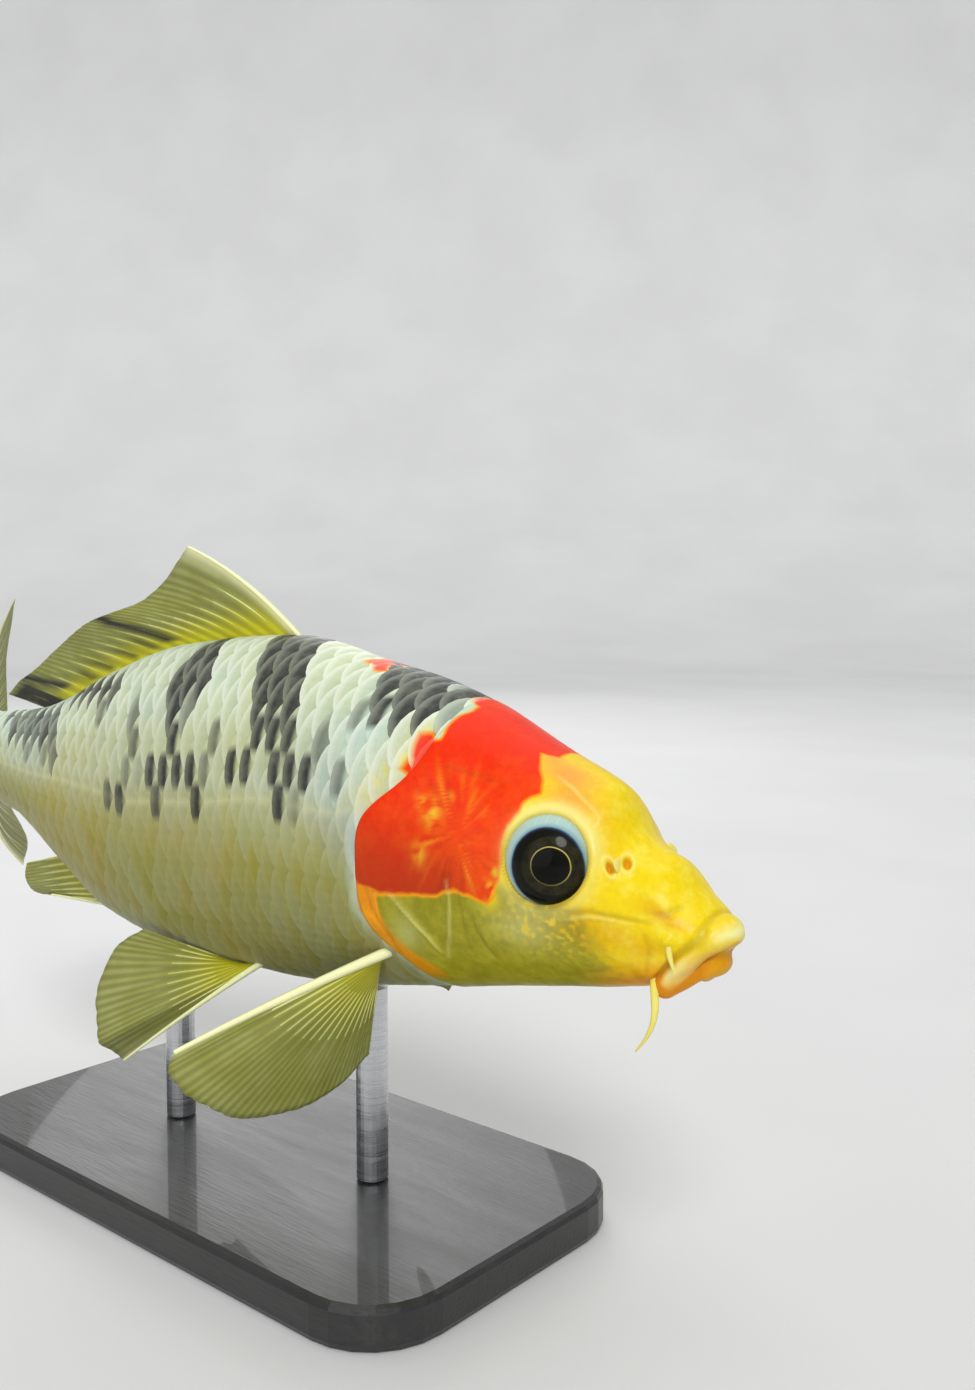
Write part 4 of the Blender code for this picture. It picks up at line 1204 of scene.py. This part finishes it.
coatTree = makeCoatTree()
coatFinish = scaleMaterial()
plate = makePlate()
for side, word in ((rightSide, "Right"), (leftSide, "Left")):
    chart = makeChart(side)
    roots = makeRoots(side)
    howMany = len(roots.data.vertices)
    coat = growPiece("scales" + word, roots, coatTree, {"Scale Shape": plate, "Flank Chart": chart,
                                                        "Body Length": unit, "Finish": coatFinish})
    if side < 0:
        coat.data.flip_normals()
    coat.data.shade_smooth()
    coat.data.set_sharp_from_angle(angle=math.radians(50))
    giveScaleMap(coat.data)
    paintCoat(coat.data, side)
    finishPiece(coat, "pale_skin", "trunk", "tail_stalk")
    bpy.data.objects.remove(chart)
    print("scales", word, howMany, "plates", len(coat.data.polygons), "faces")
bpy.data.objects.remove(plate)

# fins: a thin web, and rays along it by a node tree
fins = {
    "webHalf": 0.00009, "rootHalf": 0.00024, "raySides": 6, "raySteps": 12, "thinnest": 0.000055,
    # a ray's branches: where each starts and ends, which way it turns, whether again, its thickness
    "branches": ((0.0, .52, 0, 0, 1.0), (.50, 1.0, 1, 0, .72), (.50, 1.0, -1, 0, .72),
                 (.72, 1.0, 1, 1, .5), (.72, 1.0, -1, 1, .5)),
    # rays, thickness of a ray and of the leading one, metres; warmth of colour at the root
    "dorsal": {"rays": 21, "ray": 0.00021, "lead": 0.00038, "warm": .95},
    "anal": {"rays": 9, "ray": 0.00024, "lead": 0.00034, "warm": .6},
    "caudal": {"rays": 21, "ray": 0.00030, "lead": 0.00042, "warm": .8},
    "pectoral": {"rays": 17, "ray": 0.00019, "lead": 0.00066, "warm": .75},
    "pelvic": {"rays": 11, "ray": 0.00019, "lead": 0.00048, "warm": .8},
}


def makeRayTree():
    # sweeps a small circle along every line, as thick as the line says
    inputs = (("Geometry", "Geometry"), ("Sides", "Int"), ("Finish", "Material"))
    tree, pen, given, result = newTree("finRays", "GeometryNodeTree", inputs, (("Geometry", "Geometry"),))
    curve = pen.step("GeometryNodeMeshToCurve", {"Mesh": given["Geometry"]})
    thick = pen.step("GeometryNodeInputNamedAttribute", {"Name": "thick"}, "Attribute", data_type="FLOAT")
    circle = pen.step("GeometryNodeCurvePrimitiveCircle", {"Radius": 1.0, "Resolution": given["Sides"]})
    swept = pen.step("GeometryNodeCurveToMesh", {"Curve": curve, "Profile Curve": circle, "Scale": thick,
                                                 "Fill Caps": True})
    swept = pen.step("GeometryNodeRealizeInstances", {"Geometry": swept})
    swept = pen.step("GeometryNodeSetMaterial", {"Geometry": swept, "Material": given["Finish"]})
    pen.join(swept, result[0])
    return tree


# tones of a fin: two of its base, its warm root; the web's darker gaps and their warm root
finTones = {
    "ray": ((0.50, 0.52, 0.17), (0.62, 0.64, 0.28), (0.80, 0.72, 0.03)),
    "web": ((0.28, 0.30, 0.050), (0.35, 0.375, 0.10), (0.62, 0.58, 0.010)),
    "gap": ((0.115, 0.120, 0.018), (.24, .22, .004)),
    "pale": (0.95, 0.94, 0.52), "ink": (0.022, 0.023, 0.011),
}


def finMaterial(name, solid):
    material, pen, shader = newMaterial(name)
    along, ink, warm = (pen.mask(mask) for mask in ("along", "ink", "warm"))
    blotch = pen.noise(260, 3, .55)
    dull, bright, root = finTones["ray" if solid else "web"]
    base = pen.mix(pen.fade(blotch, .38, .66), dull, bright)
    base = pen.mix(warm, base, root)
    if not solid:
        # the clear membrane between two rays looks darker than the rays do
        gap = pen.times(pen.fade(pen.mask("between"), .20, .75), .50)
        base = pen.mix(gap, base, pen.mix(warm, *finTones["gap"]))
    base = pen.mix(pen.mask("pale"), base, finTones["pale"])
    base = pen.mix(ink, base, finTones["ink"])
    joints = pen.math("SINE", pen.times(along, 150.0 if solid else 40.0))
    pen.bump(shader, pen.plus(pen.times(joints, .25), blotch), .4, .00015)
    pen.fill(shader, {"Base Color": base, "Roughness": 0.42 if solid else 0.48, "Specular IOR Level": 0.30,
                      "Coat Weight": 0.08})
    if solid:
        pen.fill(shader, {"Subsurface Weight": 0.1, "Subsurface Scale": 0.001})
    else:
        see = pen.ramp(along, ((.0, .97), (.35, .88), (1., .74)))
        pen.fill(shader, {"Alpha": pen.math("MAXIMUM", see, pen.times(ink, .85))})
    return material


rayTree = makeRayTree()
webFinish = finMaterial("koiFinWeb", False)
rayFinish = finMaterial("koiFinRay", True)


def finMiddle(shape, k, t):
    # a point on the middle of a fin: k across its rays, t from root to margin
    if "place" in shape:
        p = shape["place"](k, t)
    else:
        root, tip = shape["root"](k), shape["tip"](k)
        share = 4 * t * (1 - t) * (1 - np.clip(k, 0, 1)) ** 1.5
        p = root + (tip - root) * t[..., None] + shape["bow"] * share[..., None]
    wave = shape["wave"] * np.maximum(t, 0) ** 1.6 * np.sin(k * shape["waves"] + 1.1) * smoothStep(0, .12, k)
    return p + shape["lean"](k) * wave[..., None]


def sunkLine(shape, k, t):
    # the same, carried on below the root into the body
    p = finMiddle(shape, k, np.clip(t, 0, 1))
    inward = finMiddle(shape, k, np.full_like(t, .06)) - finMiddle(shape, k, np.zeros_like(t))
    return p + inward * (np.minimum(t, 0) / .06)[..., None]


def makeFin(name, kind, shape, node, inkOf=None):
    spec = fins[kind]
    rays = spec["rays"]
    inkOf = inkOf or (lambda k, t: 0 * k)
    k, t = np.meshgrid(np.linspace(0, 1, (rays - 1) * 12 + 1), np.linspace(-shape["sunk"], 1, 26),
                       indexing="ij")
    phase = k * (rays - 1)
    nearRay = np.abs(phase - np.round(phase)) * 2
    # the margin is notched between the rays and a little uneven
    reach = 1 - .007 * nearRay ** 1.5 * smoothStep(.75, 1, t)
    reach += .005 * np.sin(phase * 1.1) * smoothStep(.8, 1, t)
    middle = sunkLine(shape, k, np.where(t > 0, t * reach, t))
    half = fins["webHalf"] + (fins["rootHalf"] - fins["webHalf"]) * (1 - smoothStep(0, .35, t))
    points, faces = shell(middle, half)
    flatK, flatT = k.ravel(), np.clip(t.ravel(), 0, 1)
    split = smoothStep(.45, .75, t)
    between = nearRay * (1 - split) + np.abs(1 - 2 * np.abs(nearRay - .5)) * split
    masks = {"along": flatT, "ink": inkOf(flatK, flatT), "between": between.ravel(),
             "pale": .8 * bump(flatK, .02), "warm": spec["warm"] * (1 - smoothStep(0, .50, flatT)) + .10}
    web = newPiece(name + "Web", points, faces, {key: np.concatenate([v, v]) for key, v in masks.items()})
    web.data.materials.append(webFinish)
    finishPiece(web, "fin", node)

    # rays: each splits in two and its halves split again towards the margin
    vertices, edges = [], []
    marks = {"thick": [], "along": [], "ink": [], "warm": [], "pale": []}
    for i in range(rays):
        for start, end, way, second, share in (fins["branches"] if i else [(0.0, 1.0, 0, 0, 1.0)]):
            steps = max(int(fins["raySteps"] * (end - start)) + 2, 5) + (8 if i == 0 else 0)
            q = np.linspace(start if start > 0 else -shape["sunk"] * .6, end, steps)
            offset = way * (smoothStep(.45, 1, q) * .19 + second * smoothStep(.70, 1, q) * .13)
            kk = np.clip((i + offset) / (rays - 1), 0, 1)
            tt = np.clip(q, 0, 1)
            first = len(vertices)
            vertices += [tuple(p) for p in sunkLine(shape, kk, np.where(q > 0, q * .995, q))]
            edges += [(first + j, first + j + 1) for j in range(steps - 1)]
            size = spec["lead"] * (1 - .55 * tt ** .9) if i == 0 else spec["ray"] * share * (1 - .55 * tt)
            marks["thick"] += list(np.maximum(size, fins["thinnest"]))
            marks["along"] += list(tt)
            marks["ink"] += list(inkOf(kk, tt) * .9)
            marks["warm"] += list(spec["warm"] * (1 - smoothStep(0, .6, tt)) * (.25 if i == 0 else 1) + .06)
            marks["pale"] += list(np.full(steps, 1. if i == 0 else (.45 if i == 1 else .0)))
    mesh = newMesh(name + "Lines", vertices, edges=edges)
    for key, values in marks.items():
        paint(mesh, key, values)
    obj = show(name + "Lines", mesh)
    rayPiece = growPiece(name + "Rays", obj, rayTree, {"Sides": fins["raySides"], "Finish": rayFinish})
    rayPiece.data.shade_smooth()
    finishPiece(rayPiece, "fin", node)
    print("fin", name, len(web.data.polygons) + len(rayPiece.data.polygons), "faces")


def sideways(s):
    angle = np.radians(heading(np.clip(s, 0, walkEnd)))
    return np.stack([np.sin(angle), np.cos(angle), 0 * angle], -1)


def dorsalShape():
    reach = smoothCurve((0.0, 0.08, 0.22, 0.62, 0.88, 1.0), (0.141, 0.147, 0.140, 0.115, 0.100, 0.078))
    rise = smoothCurve((0.0, 0.08, 0.22, 0.62, 0.88, 1.0), (0.081, 0.050, 0.028, 0.016, 0.014, 0.008))

    def root(k):
        s = .460 + .365 * k
        return toWorld(s, 0.0, sectionAt(s)[0] - .0015)

    def tip(k):
        s = .460 + .365 * k
        up = sectionAt(s)[0]
        return toWorld(s + reach(k), 0.0, np.maximum(up + rise(k), sectionAt(s + reach(k))[0] + .006))
    return {"root": root, "tip": tip, "bow": np.array((.0005, 0, .0010)), "wave": .0009, "waves": 9.0,
            "lean": lambda k: sideways(.5 + .4 * k), "sunk": .05}


def analShape():
    reach = smoothCurve((0.0, 0.18, 0.55, 1.0), (0.112, 0.128, 0.108, 0.080))
    drop = smoothCurve((0.0, 0.18, 0.55, 1.0), (0.003, 0.014, 0.022, 0.018))

    def root(k):
        s = .712 + .080 * k
        return toWorld(s, 0.0, sectionAt(s)[1] + .0015)

    def tip(k):
        s = .712 + .080 * k
        return toWorld(s + reach(k), 0.0, sectionAt(s)[1] - drop(k))
    return {"root": root, "tip": tip, "bow": np.zeros(3), "lean": lambda k: sideways(.75 + .1 * k),
            "wave": .0008, "waves": 5.0, "sunk": .07}


def caudalShape():
    length = smoothCurve((0.0, 0.30, 0.62, 0.88, 1.0), (0.092, 0.112, 0.160, 0.197, 0.196))
    spread = smoothCurve((0.0, 0.30, 0.62, 0.88, 1.0), (0.0, 0.042, 0.098, 0.160, 0.180))

    def place(k, t):
        c = 2 * k - 1
        size = np.abs(c)
        base = .003 + .052 * c
        end = np.sign(c) * spread(size) * np.where(c > 0, 1.0, .95)
        up = base + (end - base) * np.power(np.maximum(t, 0), .92)
        return toWorld(.992 + length(size) * t, 0.0, up)
    return {"place": place, "lean": lambda k: sideways(1.1 + 0 * k), "wave": .0012, "waves": 11.0,
            "sunk": .05}


def pairedShape(side, first, last, rays, hub):
    fit = [smoothCurve([r[0] for r in rays], [r[k] for r in rays]) for k in (1, 2, 3)]

    def parts(k):
        s = first[0] + (last[0] - first[0]) * k
        degrees = first[1] + (last[1] - first[1]) * k
        out, up = skinAt(s, degrees, hub)
        return s, out, up

    def root(k):
        s, out, up = parts(k)
        return toWorld(s, side * out, up)

    def tip(k):
        s, out, up = parts(k)
        back, wide, down = (curve(k) for curve in fit)
        end = toWorld(s, side * (out + wide), up - down)
        angle = np.radians(heading(s))
        return end + np.stack([-np.cos(angle), np.sin(angle), 0 * angle], -1) * back[..., None] * unit
    return {"root": root, "tip": tip, "bow": np.array((0, 0, .0003)), "wave": .0006, "waves": 8.0,
            "sunk": .10,
            "lean": lambda k: np.array((0, 0, 1.0)) + 0 * k[..., None]}


def dorsalInk(k, t):
    # black strokes from the base to the rear margin
    first = bump(k - .405 + .035 * smoothStep(.75, 1, t), .032) * smoothStep(.06, .16, t)
    second = bump(k - .815 - .05 * t, .030) * smoothStep(.18, .35, t)
    rear = smoothStep(.875, .915, k) * (1 - .7 * smoothStep(.80, 1, t))
    base = (bump(k - .48, .020) + bump(k - .56, .018) + bump(k - .66, .020) + bump(k - .74, .02)) \
        * smoothStep(.04, .10, t) * (1 - smoothStep(.25, .55, t)) * .7
    return np.clip(first + second + rear + base, 0, 1)


# paired fins: where each starts and ends on the body; its rays as share across the fin, back, out, down
pairedRays = {
    "spread": ((0.0, 0.118, 0.119, 0.077), (0.09, 0.117, 0.125, 0.092), (0.18, 0.102, 0.122, 0.105),
               (0.30, 0.087, 0.107, 0.114), (0.44, 0.074, 0.082, 0.122), (0.62, 0.054, 0.046, 0.123),
               (0.80, 0.037, 0.012, 0.111), (1.0, 0.025, -0.012, 0.084)),
    "swept": ((0.0, 0.165, 0.075, 0.045), (0.35, 0.150, 0.060, 0.068), (0.7, 0.098, 0.036, 0.078),
              (1.0, 0.048, 0.012, 0.064)),
    "fanned": ((0.0, 0.135, 0.041, 0.103), (0.25, 0.132, 0.068, 0.076), (0.5, 0.130, 0.067, 0.038),
               (0.75, 0.122, 0.047, 0.001), (1.0, 0.098, 0.024, -0.022)),
    "folded": ((0.0, 0.142, 0.030, 0.022), (0.5, 0.138, 0.026, 0.012), (1.0, 0.112, 0.012, 0.000)),
    "pectoral": ((.285, -40), (.298, -49)), "pelvic": ((.478, -66), (.512, -71)),
}
makeFin("dorsal", "dorsal", dorsalShape(), "dorsal_fin", dorsalInk)
makeFin("anal", "anal", analShape(), "anal_fin")
makeFin("caudal", "caudal", caudalShape(), "caudal_fin")
for kind, side, word, pose in (
        ("pectoral", rightSide, "right", "spread"), ("pectoral", leftSide, "left", "swept"),
        ("pelvic", rightSide, "right", "fanned"), ("pelvic", leftSide, "left", "folded")):
    shape = pairedShape(side, *pairedRays[kind], pairedRays[pose], .001)
    makeFin(kind + word.title(), kind, shape, kind + "_fin_" + word)

# eyes
eyes = {
    "rings": 48, "segments": 72,
    # each ring's shift down and forward, its width and height
    "iris": (.118, .100, 1.00, 1.06), "pupil": (.080, .225, .95, .90),
    # tone from the middle of the dome outwards
    "tones": ((.0, (.001, .001, .001)), (.745, (.008, .008, .005)), (.775, (.014, .022, .040)),
              (.800, (.035, .070, .140)), (.825, (.24, .38, .42)), (.90, (.42, .60, .56)),
              (1.0, (.46, .62, .52))),
    "shine": {"Roughness": 0.25, "Specular IOR Level": 0.04, "Coat Weight": 0.16, "Coat Roughness": 0.03},
}


def makeEye(side):
    centre, ahead, outwardAxis, above = eyeFrame(side)
    a, b = ballGrid(.02, eyes["rings"], eyes["segments"])
    fore = np.sin(a) * np.cos(b)
    high = np.sin(a) * np.sin(b)
    wide, deep = skin["eyeAcross"] * unit, skin["eyeDeep"] * unit
    points = (centre + ahead * (wide * fore)[..., None] + above * (wide * high)[..., None]
              + outwardAxis * (deep * np.cos(a))[..., None]).reshape(-1, 3)
    faces = tubeFaces(eyes["rings"], eyes["segments"], len(points))
    points = np.concatenate([points, [centre + outwardAxis * deep], [centre - outwardAxis * deep]])
    masks = {"high": np.concatenate([high.ravel(), [0, 0]]), "fore": np.concatenate([fore.ravel(), [0, 0]])}
    return newPiece("eye" + ("Left" if side > 0 else "Right"), points, outward(points, faces), masks)


def eyeMaterial():
    material, pen, shader = newMaterial("koiEye")
    high, fore = pen.mask("high"), pen.mask("fore")
    speck = pen.noise(900, 3, .6)
    wobble = pen.timesPlus(speck, .024, -.012)

    def ringOf(which):
        # distance from the middle of a ring, a little uneven
        low, ahead, wide, tall = eyes[which]
        lowered = pen.times(pen.plus(high, low), 1 / tall)
        level = pen.times(pen.plus(fore, -ahead), 1 / wide)
        far = pen.math("SQRT", pen.plus(pen.times(lowered, lowered), pen.times(level, level)))
        return pen.plus(far, wobble)
    tone = pen.ramp(ringOf("iris"), eyes["tones"])
    iris = pen.fade(speck, .35, .70, (.012, .011, .006), (.034, .030, .012))
    pupilRing = ringOf("pupil")
    tone = pen.mix(pen.ramp(pupilRing, ((.455, 0.), (.475, 1.), (.68, 1.), (.73, 0.))), tone, iris)
    # the thin gold ring round the pupil, brighter above and in front
    gold = pen.ramp(pupilRing, ((.435, 0.), (.447, 1.), (.456, 1.), (.472, 0.)))
    upper = pen.plus(pen.timesPlus(high, .9, .42), pen.times(fore, .35), clamp=True)
    tone = pen.mix(pen.times(gold, pen.timesPlus(upper, .85, .15)), tone, (.70, .60, .16))
    # short pale ticks across the top of the outer ring
    ticks = pen.fade(pen.math("ABSOLUTE", pen.math("SINE", pen.times(fore, 13.0))), .0, .10, .55, 0.)
    outer = pen.fade(ringOf("iris"), .86, .90)
    top = pen.fade(high, .70, .80)
    tone = pen.mix(pen.times(pen.times(ticks, outer), top), tone, (.80, .88, .86))
    pen.fill(shader, {"Base Color": tone, **eyes["shine"]})
    pen.bump(shader, speck, .05, .0001)
    return material


eyeFinish = eyeMaterial()
for side, node in ((rightSide, "eye_right"), (leftSide, "eye_left")):
    eyeObj = makeEye(side)
    eyeObj.data.materials.append(eyeFinish)
    finishPiece(eyeObj, "eye", node)
print("eyes")


# stand: the solids' own board and rods are shown and only given a finish
stand = {
    "boardGrain": (1.0, 9.0, 9.0), "rodGrain": (1.0, 1.0, 40.0),
    "boardTones": ((.32, (.012, .012, .012)), (.50, (.018, .018, .018)), (.68, (.028, .027, .026))),
    "rodTones": ((.3, (.52, .53, .55)), (.7, (.74, .75, .77))),
}


def drawnOut(pen, scale):
    # places squeezed so that a noise runs out into fibres or brush marks
    return pen.step("ShaderNodeMapping", {"Vector": pen.place(), "Scale": scale})


def boardMaterial():
    material, pen, shader = newMaterial("blackBoard")
    where = drawnOut(pen, stand["boardGrain"])
    wood = pen.noise(34, 6, .62, where, .6)
    pores = pen.noise(260, 3, .6, where)
    tone = pen.mix(pen.fade(pores, .30, .45, .7, 0.), pen.ramp(wood, stand["boardTones"]), (.008, .008, .008))
    pen.bump(shader, pores, .25, .0003)
    pen.fill(shader, {"Base Color": tone, "Roughness": pen.fade(wood, .3, .7, .34, .48), "Coat Weight": 0.25})
    return material


def rodMaterial():
    material, pen, shader = newMaterial("brushedRod")
    brushed = pen.noise(120, 3, .6, drawnOut(pen, stand["rodGrain"]))
    pen.bump(shader, brushed, .15, .0001)
    pen.fill(shader, {"Base Color": pen.ramp(brushed, stand["rodTones"]), "Metallic": 1.0,
                      "Roughness": pen.fade(brushed, .3, .7, .22, .40)})
    return material


boardFinish, rodFinish = boardMaterial(), rodMaterial()
for node, finish in (("stand_base", boardFinish), ("stand_rod_front", rodFinish),
                     ("stand_rod_rear", rodFinish)):
    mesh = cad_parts[node].data
    if len(mesh.materials):
        mesh.materials[0] = finish
    else:
        mesh.materials.append(finish)
print("stand")

# floor, light and camera
studio = {
    "camera": (0.1472, -0.1138, 0.0811), "azimuth": 40.5, "tilt": -3.3, "lens": 34.96, "shift": -0.0324,
    "sun": ((0.34, -0.36, 0.52), 22.0, 1.65), "fill": ((0.05, -0.62, 0.20), 0.50, 0.55),
    "top": ((-0.05, 0.10, 0.60), 0.60, 1.0), "rim": ((-0.45, 0.40, 0.35), 0.35, 0.7),
    "aim": (0, 0, .05), "air": (0.90, 0.93, 0.96), "airStrength": 0.36,
    # the floor: half size, where it starts to rise behind, radius and steps of the bend, height
    "floor": (3.0, 0.9, 0.8, 24, 3.0), "floorTones": ((.35, (.70, .70, .69)), (.65, (.74, .74, .73))),
}


def makeFloor():
    size, rise, bend, steps, height = studio["floor"]
    profile = [(-size, 0.0), (rise, 0.0)]
    for i in range(1, steps + 1):
        angle = math.radians(90 * i / steps)
        profile.append((rise + bend * math.sin(angle), bend * (1 - math.cos(angle))))
    profile.append((rise + bend, height))
    turn = Matrix.Rotation(math.radians(studio["azimuth"]), 3, "Z")
    points = [turn @ Vector((x, y, z)) for x in (-size, size) for y, z in profile]
    count = len(profile)
    faces = [(i, count + i, count + i + 1, i + 1) for i in range(count - 1)]
    mesh = newMesh("studioFloor", points, faces)
    mesh.shade_smooth()
    floor = show("studioFloor", mesh)
    material, pen, shader = newMaterial("paleFloor")
    pen.fill(shader, {"Base Color": pen.ramp(pen.noise(9, 3, .5), studio["floorTones"]), "Roughness": 0.7})
    mesh.materials.append(material)


def addLight(name, spec):
    at, size, power = spec
    lamp = bpy.data.lights.new(name, "SUN" if name == "sun" else "AREA")
    if name == "sun":
        lamp.angle = math.radians(size)
    else:
        lamp.shape = "DISK"
        lamp.size = size
    lamp.energy = power
    obj = show(name, lamp)
    obj.location = at
    obj.rotation_euler = (Vector(studio["aim"]) - Vector(at)).to_track_quat("-Z", "Y").to_euler()


makeFloor()
for name in ("sun", "fill", "top", "rim"):
    addLight(name, studio[name])
world = bpy.data.worlds.new("studioAir")
world.use_nodes = True
Pen(world.node_tree).fill(world.node_tree.nodes["Background"],
                          {"Color": studio["air"], "Strength": studio["airStrength"]})
bpy.context.scene.world = world
bpy.context.scene.view_settings.view_transform = "Standard"
lens = bpy.data.cameras.new("view")
lens.lens = studio["lens"]
lens.sensor_width = 36.0
lens.shift_y = studio["shift"]
lens.clip_start = 0.005
camera = show("view", lens)
camera.location = studio["camera"]
camera.rotation_euler = (math.radians(90 + studio["tilt"]), 0, math.radians(studio["azimuth"]))
bpy.context.scene.camera = camera
print("studio")
